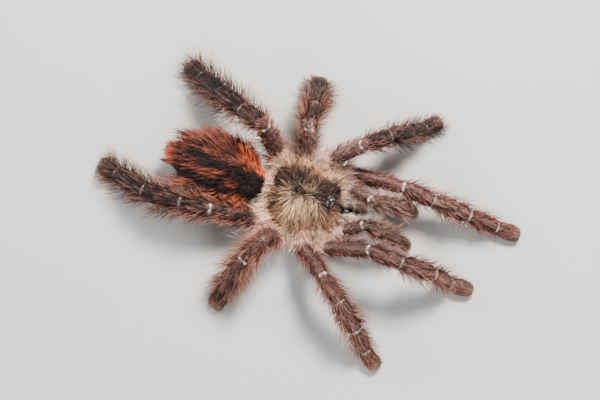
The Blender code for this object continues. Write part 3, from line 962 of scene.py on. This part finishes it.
class TARANTULA_OT_skin(bpy.types.Operator):
    """Draw one skin over all the flesh"""

    bl_idname = "tarantula.skin"
    bl_label = "Skin"

    def execute(self, context):
        settings = context.scene.tarantula_skin
        tree, owners = solid_tree()
        skin = joined_flesh()
        fill_joints()
        stop_editing()
        remesh = skin.modifiers.new("remesh", "REMESH")
        remesh.mode = "VOXEL"
        remesh.voxel_size = settings.voxel
        smooth_by(skin, settings.smoothing)
        sink_skin(skin.data, tree, owners)
        smooth_by(skin, settings.smoothing)
        mesh = skin.data
        points = vertex_array(mesh)
        node = owners_of(points, tree, owners)
        places = Places(points, node)
        marks = markings(places)
        shield = places.of("carapace")
        points[shield, 2] -= pit_depth(points[shield])
        # Raised knobs under the pale rings and under the painted jaw highlights.
        points += vertex_array(mesh, "vector") * marks["ring"][:, None] * settings.knob
        set_points(mesh, points)
        for name, values in marks.items():
            write_attribute(mesh, name, values)
        write_attribute(mesh, "part", node)
        mesh.shade_smooth()
        mesh.materials.append(skin_material(settings))
        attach(skin, "root")
        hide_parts(*FLESH)
        return {"FINISHED"}


# ---- Hair ----

# The length and width of a lock of hair on a limb.
LIMB_LOCK = (1.8 * MM, 0.32 * MM)

# How deep a hair's root lies in the skin.
ROOT_DEPTH = 0.06 * MM

# How far hairs stay inside the box of the solids, above its foot, and above the floor.
BOX_MARGIN = 0.15 * MM
FOOT_MARGIN = 0.05 * MM
FLOOR_GAP = 0.03 * MM

# A hair has three sides, and as many sections as its layer's number. Its thickness at the start
# of each section is a share of that at the root, and it ends in a point.
CORNER_TURNS = np.radians([90.0, 210.0, 330.0])
ROOT_SHARES = {1: (1.0,), 2: (1.0, 0.8), 3: (1.0, 0.85, 0.6)}

# For each layer: what share of its lean its hairs lose towards the tip, how far they are gathered
# into locks, and how far they fade at the tip.
DROOPS = {"under": 0.0, "top": 0.45, "guard": 0.55}
GATHERS = {"under": 0.15, "top": 0.3, "guard": 0.15}
FADES = {"under": 0.12, "top": 0.3, "guard": 0.5}
SHORTEST = 0.3 * MM

# The side of the map patch that one hair takes.
PATCH = 0.003
CHART_MARGIN = 0.02

# All layers share one draw for each lock, so that their locks lean alike.
LOCK_SEED = 7

# The dark streaks that are sprinkled through a coat.
GRAIN = 3.0 * MM
GRAIN_SEED = 21


class Roots:
    """Places on the skin where hairs grow, chosen at random on some of the solids' skin."""

    def __init__(self, nodes, count, density, seed):
        mesh = bpy.data.objects["skin"].data
        mesh.calc_loop_triangles()
        corners = np.empty(len(mesh.loop_triangles) * 3, np.int32)
        mesh.loop_triangles.foreach_get("vertices", corners)
        corners = corners.reshape(-1, 3)
        points, normals = vertex_array(mesh), vertex_array(mesh, "vector")
        part = np.empty(len(mesh.vertices), np.float32)
        mesh.attributes["part"].data.foreach_get("value", part)
        part = part.round().astype(int)
        corners = corners[np.isin(part[corners[:, 0]], [FLESH.index(node) for node in nodes])]
        a, b, c = (points[corners[:, k]] for k in range(3))
        area = np.linalg.norm(np.cross(b - a, c - a), axis=1)
        weight = area * density(Places((a + b + c) / 3, part[corners[:, 0]]))
        self.chance = np.random.default_rng(seed)
        chosen = self.chance.choice(len(corners), size=count, p=weight / weight.sum())
        shares = self.chance.dirichlet((1.0, 1.0, 1.0), size=count)[:, :, None]
        picked = corners[chosen]
        self.points = (points[picked] * shares).sum(axis=1)
        self.normals = unit((normals[picked] * shares).sum(axis=1))
        self.places = Places(self.points, part[picked[:, 0]])


def combed(lie, normals, angle):
    """Each lie laid along the skin and turned about its normal."""
    lie = unit(lie - normals * dot(lie, normals)[:, None])
    side = np.cross(normals, lie)
    return lie * np.cos(angle)[:, None] + side * np.sin(angle)[:, None]


def lock_numbers(places, size):
    """The number of the lock that each hair belongs to. Size is a lock's length and width."""
    column = np.floor(places.cross / size[1]).astype(int)
    row = np.floor(places.run / size[0] + 0.37 * column).astype(int)
    cells = np.stack([places.node, column, row], axis=1)
    return np.unique(cells, axis=0, return_inverse=True)[1].reshape(-1)


def gathered(line, lock, share):
    """The hairs of one lock lean together, by share of the way to its middle at their tips."""
    root = line[:, 0]
    counts = np.bincount(lock)
    middle = np.stack([np.bincount(lock, root[:, k]) for k in range(3)], axis=1) / counts[:, None]
    rise = np.linspace(0.0, 1.0, line.shape[1]) ** 1.5
    return line + share * (middle[lock] - root)[:, None] * rise[:, None]


def strand_lines(roots, lie, length, lift, droop, sections):
    """The middle line of each hair, leaning by lift at its root and by lift - droop at its tip."""
    line = [roots.points - roots.normals * ROOT_DEPTH]
    for k in range(sections):
        angle = lift - droop * (k + 0.5) / sections
        heading = lie * np.cos(angle)[:, None] + roots.normals * np.sin(angle)[:, None]
        line.append(line[-1] + heading * (length / sections)[:, None])
    return np.array(line).transpose(1, 0, 2)


def kept_in_box(line):
    """Hairs whose tips would leave the solids' own box are drawn in towards their roots."""
    low, high = (np.array(corner) for corner in cad_box)
    low, high = low + BOX_MARGIN, high - BOX_MARGIN
    low[2] = FOOT_MARGIN
    root = line[:, :1]
    reach = line - root
    room = np.where(reach > 0, high - root, low - root)
    moves = np.abs(reach) > 1e-9
    share = np.where(moves, room / np.where(moves, reach, 1), 9.0)
    share = np.clip(share, 0.15, 1.0).min(axis=(1, 2))
    line = root + reach * share[:, None, None]
    line[:, :, 2] = np.maximum(line[:, :, 2], FLOOR_GAP)
    return line


def strand_template(sections):
    """The triangles of one hair and the place of each of their corners on its map patch."""
    faces, places = [(0, 2, 1)], [(0.1, 0.0), (0.9, 0.0), (0.5, 0.12)]
    for k in range(sections):
        low, high = 0.15 + 0.85 * k / sections, 0.15 + 0.85 * (k + 1) / sections
        for j in range(3):
            here, there = 3 * k + j, 3 * k + (j + 1) % 3
            left, right = j / 3, (j + 1) / 3
            places += [(left, low), (right, low)]
            if k == sections - 1:
                faces.append((here, there, 3 * sections))
                places.append(((left + right) / 2, high))
            else:
                faces += [(here, there, there + 3), (here, there + 3, here + 3)]
                places += [(right, high), (left, low), (right, high), (left, high)]
    return np.array(faces), np.array(places) * PATCH


def chart_places(places, nodes):
    """Where each root lies on an unwrap of the skin: one upright strip for each solid."""
    across = math.ceil(math.sqrt(len(nodes)))
    rows = math.ceil(len(nodes) / across)
    numbers = {FLESH.index(node): k for k, node in enumerate(nodes)}
    strip = np.array([numbers[value] for value in places.node])
    column, row = strip % across, strip // across
    inner = 1 - 2 * CHART_MARGIN
    u = (column + CHART_MARGIN + inner * np.clip(places.along, 0, 1)) / across
    v = (row + CHART_MARGIN + inner * np.clip(places.around, 0, 1)) / rows
    return np.stack([u, v], axis=1) * (1 - 2 * PATCH) + PATCH


def strand_corners(line, width, sections):
    """The corners of closed hairs round their middle lines."""
    headings = unit(np.diff(line, axis=1))
    side = unit(np.cross(headings[:, :1], [[[0.0, 0.0, 1.0]]]) + 1e-9)[:, 0]
    corners = []
    for k in range(sections):
        heading = headings[:, k]
        across = unit(side - heading * dot(side, heading)[:, None])
        up = np.cross(heading, across)
        radius = 0.5 * width * ROOT_SHARES[sections][k]
        for turn in CORNER_TURNS:
            corners.append(line[:, k] + radius * (across * math.cos(turn) + up * math.sin(turn)))
    corners.append(line[:, sections])
    return np.array(corners).transpose(1, 0, 2)


def hair_mesh(name, groups):
    """One mesh from groups of hairs, each with its corners, map places, marks and sections."""
    vertices, faces, maps, marks, first = [], [], [], {}, 0
    for corners, places, shares, sections in groups:
        template, patch = strand_template(sections)
        count, each = corners.shape[:2]
        vertices.append(corners.reshape(-1, 3))
        starts = first + np.arange(count) * each
        faces.append((starts[:, None, None] + template[None]).reshape(-1, 3))
        maps.append((places[:, None] + patch[None]).reshape(-1, 2))
        tips = np.append(np.repeat(np.arange(sections) / sections, 3), 1.0)
        marks.setdefault("tip", []).append(np.tile(tips, count))
        for mark, values in shares.items():
            marks.setdefault(mark, []).append(np.repeat(values, each))
        first += count * each
    vertices, faces, maps = (np.concatenate(parts) for parts in (vertices, faces, maps))
    mesh = bpy.data.meshes.new(name)
    mesh.vertices.add(len(vertices))
    mesh.vertices.foreach_set("co", vertices.astype(np.float32).ravel())
    mesh.loops.add(faces.size)
    mesh.loops.foreach_set("vertex_index", faces.astype(np.int32).ravel())
    mesh.polygons.add(len(faces))
    mesh.polygons.foreach_set("loop_start", np.arange(len(faces), dtype=np.int32) * 3)
    mesh.update(calc_edges=True)
    mesh.shade_smooth()
    layer = mesh.uv_layers.new(name="OFBake", do_init=False)
    layer.uv.foreach_set("vector", maps.astype(np.float32).ravel())
    for mark, parts in marks.items():
        write_attribute(mesh, mark, np.concatenate(parts))
    return add_object(name, mesh)


def grow(
    roots, nodes, style, kind, length=1.0, lift=1.0, lock=LIMB_LOCK, splay=0.2, dim=0.0, mottle=0.3
):
    """One layer of hair from roots, combed by the lie and gathered into locks.

    Length and lift are shares of the style's own, one for all hairs or one for each. Dim is
    how much more of the dark markings the layer takes, and mottle how much darker the dark hairs
    that are sprinkled through it are.
    """
    places = roots.places
    sections = LAYERS.index(kind) + 1
    number = lock_numbers(places, lock)
    shared = np.random.default_rng(LOCK_SEED).normal(size=(number.max() + 1, 4))[number].T
    own = roots.chance.normal(size=(len(roots.points), 4)).T
    lie = combed(places.lie, roots.normals, splay * (0.6 * shared[0] + 0.7 * own[0]))
    lifts = getattr(style, f"{kind}_lift") * lift * np.exp(0.22 * shared[1] + 0.2 * own[1])
    lengths = getattr(style, f"{kind}_length") * length
    lengths = lengths * np.exp(0.12 * shared[2] + 0.18 * own[2])
    if kind != "guard":
        lengths = np.minimum(lengths, np.maximum(1.05 * places.room, SHORTEST))
    droop = DROOPS[kind] * lifts
    line = strand_lines(roots, lie, lengths, lifts, droop, sections)
    line = kept_in_box(gathered(line, number, GATHERS[kind]))
    marks = markings(places)
    del marks["bare"], marks["ring"]
    grain = np.stack([5 * places.cross, places.run, places.node * MM], axis=1)
    streaked = ripple(grain, GRAIN, GRAIN_SEED) + 0.22 * own[3] + 0.12 * shared[3]
    sprinkled = mottle * step(streaked, 0.15, 0.5)
    marks["dark"] = np.clip(marks["dark"] * (1 + 0.2 * own[3]) + dim + sprinkled, 0, 1)
    marks["pale"] *= 1 - sprinkled
    marks["warm"] = np.clip(marks["warm"] * (1 + 0.4 * own[0]) + 0.08 * own[1], 0, 1)
    marks["tone"] = np.clip(0.46 + 0.19 * shared[0] + 0.24 * own[2], 0, 1)
    bright = np.clip(FADES[kind] + 0.3 * own[1], 0, 1)
    marks["fade"] = bright * style.tip_paleness * (1 - 0.93 * marks["dark"])
    corners = strand_corners(line, getattr(style, f"{kind}_width"), sections)
    return corners, chart_places(places, nodes), marks, sections


def hair_count(wanted):
    return wanted


def haired(places):
    return 1 - 0.97 * markings(places)["bare"]


def finish_coat(name, groups, material):
    coat = hair_mesh(name, groups)
    coat.data.materials.append(material)
    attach(coat, "root")


def limb_coat(limb, style, material, seed):
    """Short hair all over a limb, and guard hairs along its sides. Hind legs are shaggier."""
    nodes = LIMB_NODES[limb]
    shaggy = PAIR_WARMTH[pair_of(limb)]
    brushy = step(LIMB_LOOKS[limb][0], 0.5, 1.0)

    def short_density(places):
        toe = np.where(places.segment == TARSUS, 1.3, 1.0)
        return (0.7 + 0.3 * step(places.upper, -0.6, 0.2)) * toe * haired(places)

    def guard_density(places):
        by_segment = np.array([1.6, 0.8, 1.1, 1.3, 1.2, 0.3 + 0.9 * brushy])[places.segment]
        return by_segment * (0.12 + np.abs(places.aside) ** 1.5)

    under = Roots(nodes, hair_count(style.under_hairs), short_density, seed)
    toe = np.where(under.places.segment == TARSUS, 1.25, 1.0)
    groups = [grow(under, nodes, style, "under", 1.0 / toe, toe, splay=0.25, dim=0.45, mottle=0.45)]
    top = Roots(nodes, hair_count(style.top_hairs), short_density, seed + 1)
    reach = np.array([1.15, 0.85, 1.0, 1.1, 1.1, 0.8])[top.places.segment]
    reach = reach * (1 + 0.2 * shaggy * np.abs(top.places.aside))
    groups.append(grow(top, nodes, style, "top", reach, splay=0.22, mottle=0.45))
    count = hair_count(int(style.guard_hairs * (0.7 + 0.9 * shaggy)))
    guards = Roots(nodes, count, guard_density, seed + 2)
    places, aside = guards.places, np.abs(guards.places.aside)
    reach = np.array([1.0, 0.75, 0.95, 1.05, 0.9 + 0.15 * brushy, 0.42 + 0.4 * brushy])
    reach = reach[places.segment] * (0.75 + 0.55 * shaggy) * (0.65 + 0.45 * aside)
    reach = np.where((places.walked < HIND_HIP) & (pair_of(limb) == "leg_4"), 1.2, reach)
    rust = shaggy * step(aside, 0.3, 0.8)
    dim = -0.7 * rust * (1 - 0.5 * brushy * (places.segment > 2))
    lift = 1 + 0.3 * shaggy * aside
    groups.append(grow(guards, nodes, style, "guard", reach, lift, splay=0.25, dim=dim))
    finish_coat(f"{limb}_coat", groups, material)


def limb_coats(name, limbs, style, seed):
    material = coat_material(name, style)
    for number, limb in enumerate(limbs):
        limb_coat(limb, style, material, seed + 10 * number)


class TARANTULA_OT_leg_coats(bpy.types.Operator):
    """Grow the hair of the eight legs"""

    bl_idname = "tarantula.leg_coats"
    bl_label = "Leg coats"

    def execute(self, context):
        limb_coats("leg_hair", LEGS, context.scene.tarantula_leg_coat, 100)
        return {"FINISHED"}


class TARANTULA_OT_palp_coats(bpy.types.Operator):
    """Grow the hair of the two palps"""

    bl_idname = "tarantula.palp_coats"
    bl_label = "Palp coats"

    def execute(self, context):
        limb_coats("palp_hair", PALPS, context.scene.tarantula_palp_coat, 200)
        return {"FINISHED"}


def gap_to_parting(places):
    """How far each point of the back shield lies from its parting, and far off for the rest."""
    away, _ = from_parting(places.points)
    return np.where(places.of("carapace"), np.linalg.norm(away, axis=1), FAR)


def parted(places):
    """More hair where it parts: along the middle of the back and at the abdomen's front."""
    front = places.of("abdomen") * step(places.along, 0.2, 0.0)
    return (1 + 2.2 * bump(gap_to_parting(places), 0.0, 1.3 * MM) + 1.5 * front) * haired(places)


def even(places):
    """The style's own length for every hair."""
    return 1.0


def trunk_coat(
    name, nodes, style, seed, guard_density, lock, length=even, guard_length=even,
    splay=0.2, mottle=0.3,
):
    """Short hair all over some of the trunk's solids, and long hair where guard_density says.

    Length and guard_length are shares of the style's own for each place.
    """
    groups = []
    layers = ((parted, length, 0.25), (parted, length, 0.0), (guard_density, guard_length, -0.1))
    for number, (density, share, dim) in enumerate(layers):
        kind = LAYERS[number]
        count = hair_count(getattr(style, f"{kind}_hairs"))
        roots = Roots(nodes, count, density, seed + number)
        ruffled = splay + 1.1 * bump(gap_to_parting(roots.places), 0.0, 0.7 * MM)
        lengths = share(roots.places)
        groups.append(grow(roots, nodes, style, kind, lengths, 1.0, lock, ruffled, dim, mottle))
    finish_coat(name, groups, coat_material(name + "_hair", style))


def shield_length(places):
    """Short by the eyes, at the brim, at the rear and along the parting."""
    brow = (places.points - np.array(centre_of("eye_mound")))[:, :2]
    gap = np.linalg.norm(from_parting(places.points)[0], axis=1)
    clear = 0.3 + 0.7 * step(np.linalg.norm(brow, axis=1), 1.5 * MM, 4.0 * MM)
    brim = 1 - 0.5 * step(brow[:, 1], -0.9 * MM, -1.9 * MM)
    rear = 1 - 0.3 * step(places.along, 0.85, 0.97)
    return rear * brim * clear * (0.6 + 0.4 * step(gap, 0.5 * MM, 3.0 * MM))


def shield_guards(places):
    rear = step(places.along, 0.8, 0.95)
    return (0.1 + markings(places)["pale"] * (1 + 2 * rear)) * haired(places)


def shield_guard_length(places):
    return 1 - 0.15 * step(places.along, 0.8, 0.95)


class TARANTULA_OT_shield_coat(bpy.types.Operator):
    """Grow the flat silky hair of the back shield"""

    bl_idname = "tarantula.shield_coat"
    bl_label = "Back shield coat"

    def execute(self, context):
        style, lock = context.scene.tarantula_shield_coat, (2.2 * MM, 0.36 * MM)
        lengths = (shield_length, shield_guard_length)
        trunk_coat(
            "carapace_coat", ["carapace"], style, 300, shield_guards, lock, *lengths, mottle=0.8
        )
        return {"FINISHED"}


def by_leg(places):
    """1 on the abdomen's shoulder that the right hind leg crosses."""
    return step(places.aside, -0.4, -0.75) * step(places.along, 0.55, 0.35)


def abdomen_length(places):
    front, under = step(places.along, 0.0, 0.3), step(places.upper, -0.2, -0.7)
    full = (0.55 + 0.45 * front) * (1 - 0.35 * under) * (1 - 0.3 * by_leg(places))
    return np.where(places.of(*SPINNERETS), 0.32, full)


def abdomen_guards(places):
    """Most along the flanks and at the tail, few on the black, none on the spinnerets."""
    flank = step(np.abs(places.aside), 0.25, 0.85)
    back, above = step(places.along, 0.0, 0.15), step(places.upper, -0.6, -0.1)
    sown = (0.12 + flank) * (0.35 + back) + 1.5 * step(places.along, 0.85, 0.97)
    light = 1 - 0.85 * markings(places)["dark"]
    return sown * (0.12 + above) * light * step(places.along, 0.04, 0.1) * ~places.of(*SPINNERETS)


def abdomen_guard_length(places):
    flank = step(np.abs(places.aside), 0.3, 0.85)
    full = 0.6 + flank * (0.45 + 0.08 * step(places.along, 0.4, 0.1))
    return full * (1 - 0.6 * by_leg(places))


class TARANTULA_OT_abdomen_coat(bpy.types.Operator):
    """Grow the long red and black hair of the abdomen and the spinnerets"""

    bl_idname = "tarantula.abdomen_coat"
    bl_label = "Abdomen coat"

    def execute(self, context):
        style, lock = context.scene.tarantula_abdomen_coat, (2.6 * MM, 0.42 * MM)
        nodes, lengths = ["abdomen", *SPINNERETS], (abdomen_length, abdomen_guard_length)
        trunk_coat("abdomen_coat", nodes, style, 400, abdomen_guards, lock, *lengths, mottle=0.5)
        return {"FINISHED"}


def belly_length(places):
    rear = step(places.points[:, 1], 5 * MM, 9 * MM)
    return (0.8 + 0.4 * step(places.upper, -0.2, 0.4)) * (1 + 0.5 * rear)


def belly_guards(places):
    rear = step(places.points[:, 1], 4 * MM, 8 * MM)
    return 0.1 + step(places.upper, -0.2, 0.5) * (1 + 2 * rear)


def belly_guard_length(places):
    return 0.8 + 0.65 * step(places.points[:, 1], 4 * MM, 8 * MM)


class TARANTULA_OT_belly_coat(bpy.types.Operator):
    """Grow the hair of the hips, the breastplate and the waist"""

    bl_idname = "tarantula.belly_coat"
    bl_label = "Belly coat"

    def execute(self, context):
        style, lock = context.scene.tarantula_belly_coat, (1.6 * MM, 0.6 * MM)
        lengths = (belly_length, belly_guard_length)
        trunk_coat("belly_coat", BELLY, style, 500, belly_guards, lock, *lengths, 0.3, 0.6)
        return {"FINISHED"}


def jaw_guards(places):
    return (1.0 - 0.8 * places.along) * haired(places)


class TARANTULA_OT_jaw_coat(bpy.types.Operator):
    """Grow the hair of the chelicerae"""

    bl_idname = "tarantula.jaw_coat"
    bl_label = "Jaw coat"

    def execute(self, context):
        style, lock = context.scene.tarantula_jaw_coat, (1.4 * MM, 0.45 * MM)
        trunk_coat("jaw_coat", CHELICERAE, style, 600, jaw_guards, lock)
        return {"FINISHED"}


# ---- Eyes and fangs ----

# One side's four eyes: their places as shares of the mound's half-sizes, and their radii.
EYES = (
    ((0.34, -0.66, 0.5), 0.46 * MM),
    ((0.76, -0.5, 0.1), 0.4 * MM),
    ((0.78, 0.38, 0.15), 0.38 * MM),
    ((0.44, 0.5, 0.5), 0.29 * MM),
)
LENS_FLATNESS = 0.85
RIM_THICKNESS = 0.06 * MM

# How much further up the eyes look than straight out of the mound.
LOOK_UP = 0.35


def settle(piece, name, place, outward, material):
    """Turns a piece's mesh to point outward, moves it to its place and finishes it."""
    piece.name = name
    turn = Vector((0, 0, 1)).rotation_difference(outward)
    piece.data.transform(Matrix.Translation(place) @ turn.to_matrix().to_4x4())
    piece.data.shade_smooth()
    piece.data.materials.append(material)
    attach(piece, "root")


def make_eye(radius):
    """A domed lens."""
    deselect_all()
    bpy.ops.mesh.primitive_uv_sphere_add(segments=32, ring_count=20, radius=radius)
    edit_all()
    bpy.ops.transform.resize(value=(1.0, 1.0, LENS_FLATNESS))
    stop_editing()
    return bpy.context.object


def make_eye_rim(radius):
    """The raised ring that a lens sits in."""
    deselect_all()
    bpy.ops.mesh.primitive_torus_add(
        major_segments=32, minor_segments=10, major_radius=radius * 0.98, minor_radius=RIM_THICKNESS
    )
    return bpy.context.object


class TARANTULA_OT_eyes(bpy.types.Operator):
    """Set the eight eyes on their mound"""

    bl_idname = "tarantula.eyes"
    bl_label = "Eyes"

    def execute(self, context):
        settings = context.scene.tarantula_eyes
        front = glass_material("front_eye", settings.front_colour, 0.06)
        others = glass_material("side_eye", settings.side_colour, 0.08)
        edge = glass_material("eye_rim", settings.rim_colour, 0.55, 0.0)
        centre, half = centre_of("eye_mound"), half_size_of("eye_mound")
        for side, sign in zip(SIDES, (1, -1)):
            for number, (share, radius) in enumerate(EYES, 1):
                offset = Vector((sign * share[0] * half.x, share[1] * half.y, share[2] * half.z))
                out = (offset.x / half.x, offset.y / half.y, offset.z / half.z + LOOK_UP)
                outward = Vector(out)
                outward.normalize()
                place, end = centre + offset, f"{number}_{side}"
                glass = front if number == 1 else others
                settle(make_eye(radius), f"eye_{end}", place, outward, glass)
                settle(make_eye_rim(radius), f"eye_rim_{end}", place, outward, edge)
        return {"FINISHED"}


class TARANTULA_OT_fangs(bpy.types.Operator):
    """Round off the two fangs"""

    bl_idname = "tarantula.fangs"
    bl_label = "Fangs"

    def execute(self, context):
        material = fang_material(context.scene.tarantula_fangs)
        for node in FANGS:
            fang = add_object(node + "_claw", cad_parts[node].data.copy())
            select_only(fang)
            edit_all()
            merge_doubles()
            bpy.ops.mesh.tris_convert_to_quads()
            stop_editing()
            rounding = fang.modifiers.new("rounding", "SUBSURF")
            rounding.levels = rounding.render_levels = 3
            apply_modifiers(fang)
            fang.data.shade_smooth()
            fang.data.materials.clear()
            fang.data.materials.append(material)
            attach(fang, "root")
            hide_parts(node)
        return {"FINISHED"}


# ---- The stage ----

FLOOR_SIZE = 3.0
SENSOR_WIDTH = 36.0

# What the lights point at.
LIT_POINT = Vector((0, 0, 10 * MM))

# Where the camera looks, forward of the pit and to the animal's left of it.
AIM_FORWARD = 1.353 * MM
AIM_LEFTWARD = -1.89 * MM

# Each light's place, width and colour.
LIGHTS = {
    "key": ((0.3, -0.05, 0.42), 0.16, (1.0, 0.96, 0.92)),
    "fill": ((-0.4, -0.25, 0.32), 0.4, (0.93, 0.96, 1.0)),
    "back": ((0.05, 0.5, 0.25), 0.3, (1.0, 1.0, 1.0)),
}


def add_light(name, place, size, watts, colour):
    light = bpy.data.lights.new(name, "AREA")
    light.shape = "DISK"
    light.size, light.energy, light.color = size, watts, colour
    obj = add_object(name, light)
    obj.location = place
    obj.rotation_euler = (LIT_POINT - Vector(place)).to_track_quat("-Z", "Y").to_euler()


class TARANTULA_OT_stage(bpy.types.Operator):
    """Lay the floor, hang the lights and set the camera"""

    bl_idname = "tarantula.stage"
    bl_label = "Stage"

    def execute(self, context):
        settings = context.scene.tarantula_stage
        self.lay_floor(settings)
        self.set_camera(context, settings)
        self.hang_lights(context, settings)
        return {"FINISHED"}

    def lay_floor(self, settings):
        deselect_all()
        bpy.ops.mesh.primitive_plane_add(size=FLOOR_SIZE)
        floor = bpy.context.object
        floor.name = "floor"
        material, tree, shader = new_material("floor")
        paler = [min(1.0, value * 1.06) for value in settings.floor_colour]
        colour = mixed(tree, noise(tree, 14.0, 4.0), settings.floor_colour, paler)
        feed(tree, shader, {"Base Color": colour, "Roughness": 0.85})
        floor.data.materials.append(material)

    def set_camera(self, context, settings):
        """The camera leans to the animal's right, and its up side turns with the animal."""
        lean, turn = settings.tip, settings.turn
        forward = Vector((0, -1, 0))
        leftward = Vector((math.cos(lean), 0, math.sin(lean)))
        right = math.cos(turn) * forward + math.sin(turn) * leftward
        up = math.cos(turn) * leftward - math.sin(turn) * forward
        back = right.cross(up)
        target = FOVEA + AIM_FORWARD * forward + AIM_LEFTWARD * leftward
        lens = bpy.data.cameras.new("camera")
        lens.sensor_width = SENSOR_WIDTH
        lens.lens = SENSOR_WIDTH * settings.distance / settings.framed_width
        camera = add_object("camera", lens)
        frame_axes = Matrix((right, up, back)).transposed().to_4x4()
        camera.matrix_world = Matrix.Translation(target + back * settings.distance) @ frame_axes
        context.scene.camera = camera

    def hang_lights(self, context, settings):
        for name, (place, size, colour) in LIGHTS.items():
            watts = settings.key if name == "key" else settings.fill
            add_light(name, place, size, watts, colour)
        world = bpy.data.worlds.new("studio")
        world.use_nodes = True
        sky = world.node_tree.nodes["Background"]
        feed(world.node_tree, sky, {"Color": (0.9, 0.94, 1.0), "Strength": settings.sky})
        context.scene.world = world


# ---- The add-on ----

OPERATORS = (
    TARANTULA_OT_skin,
    TARANTULA_OT_leg_coats,
    TARANTULA_OT_palp_coats,
    TARANTULA_OT_shield_coat,
    TARANTULA_OT_abdomen_coat,
    TARANTULA_OT_belly_coat,
    TARANTULA_OT_jaw_coat,
    TARANTULA_OT_eyes,
    TARANTULA_OT_fangs,
    TARANTULA_OT_stage,
)


class TARANTULA_PT_panel(bpy.types.Panel):
    """Every piece of the tarantula, with its settings"""

    bl_idname = "TARANTULA_PT_panel"
    bl_label = "Pink toe tarantula"
    bl_space_type = "VIEW_3D"
    bl_region_type = "UI"
    bl_category = "Tarantula"

    def draw(self, context):
        for operator in OPERATORS:
            self.layout.operator(operator.bl_idname)
        for name, group in SETTINGS.items():
            box = self.layout.box()
            box.label(text=name.removeprefix("tarantula_").replace("_", " ").capitalize())
            settings = getattr(context.scene, name)
            for field in group.__annotations__:
                box.prop(settings, field)


def register():
    for name, group in SETTINGS.items():
        bpy.utils.register_class(group)
        setattr(bpy.types.Scene, name, PointerProperty(type=group))
    for made in (*OPERATORS, TARANTULA_PT_panel):
        bpy.utils.register_class(made)


def unregister():
    for made in (TARANTULA_PT_panel, *reversed(OPERATORS)):
        bpy.utils.unregister_class(made)
    for name, group in SETTINGS.items():
        delattr(bpy.types.Scene, name)
        bpy.utils.unregister_class(group)


def main():
    register()
    bpy.ops.tarantula.skin()
    bpy.ops.tarantula.leg_coats()
    bpy.ops.tarantula.palp_coats()
    bpy.ops.tarantula.shield_coat()
    bpy.ops.tarantula.abdomen_coat()
    bpy.ops.tarantula.belly_coat()
    bpy.ops.tarantula.jaw_coat()
    bpy.ops.tarantula.eyes()
    bpy.ops.tarantula.fangs()
    bpy.ops.tarantula.stage()


if __name__ == "__main__":
    main()
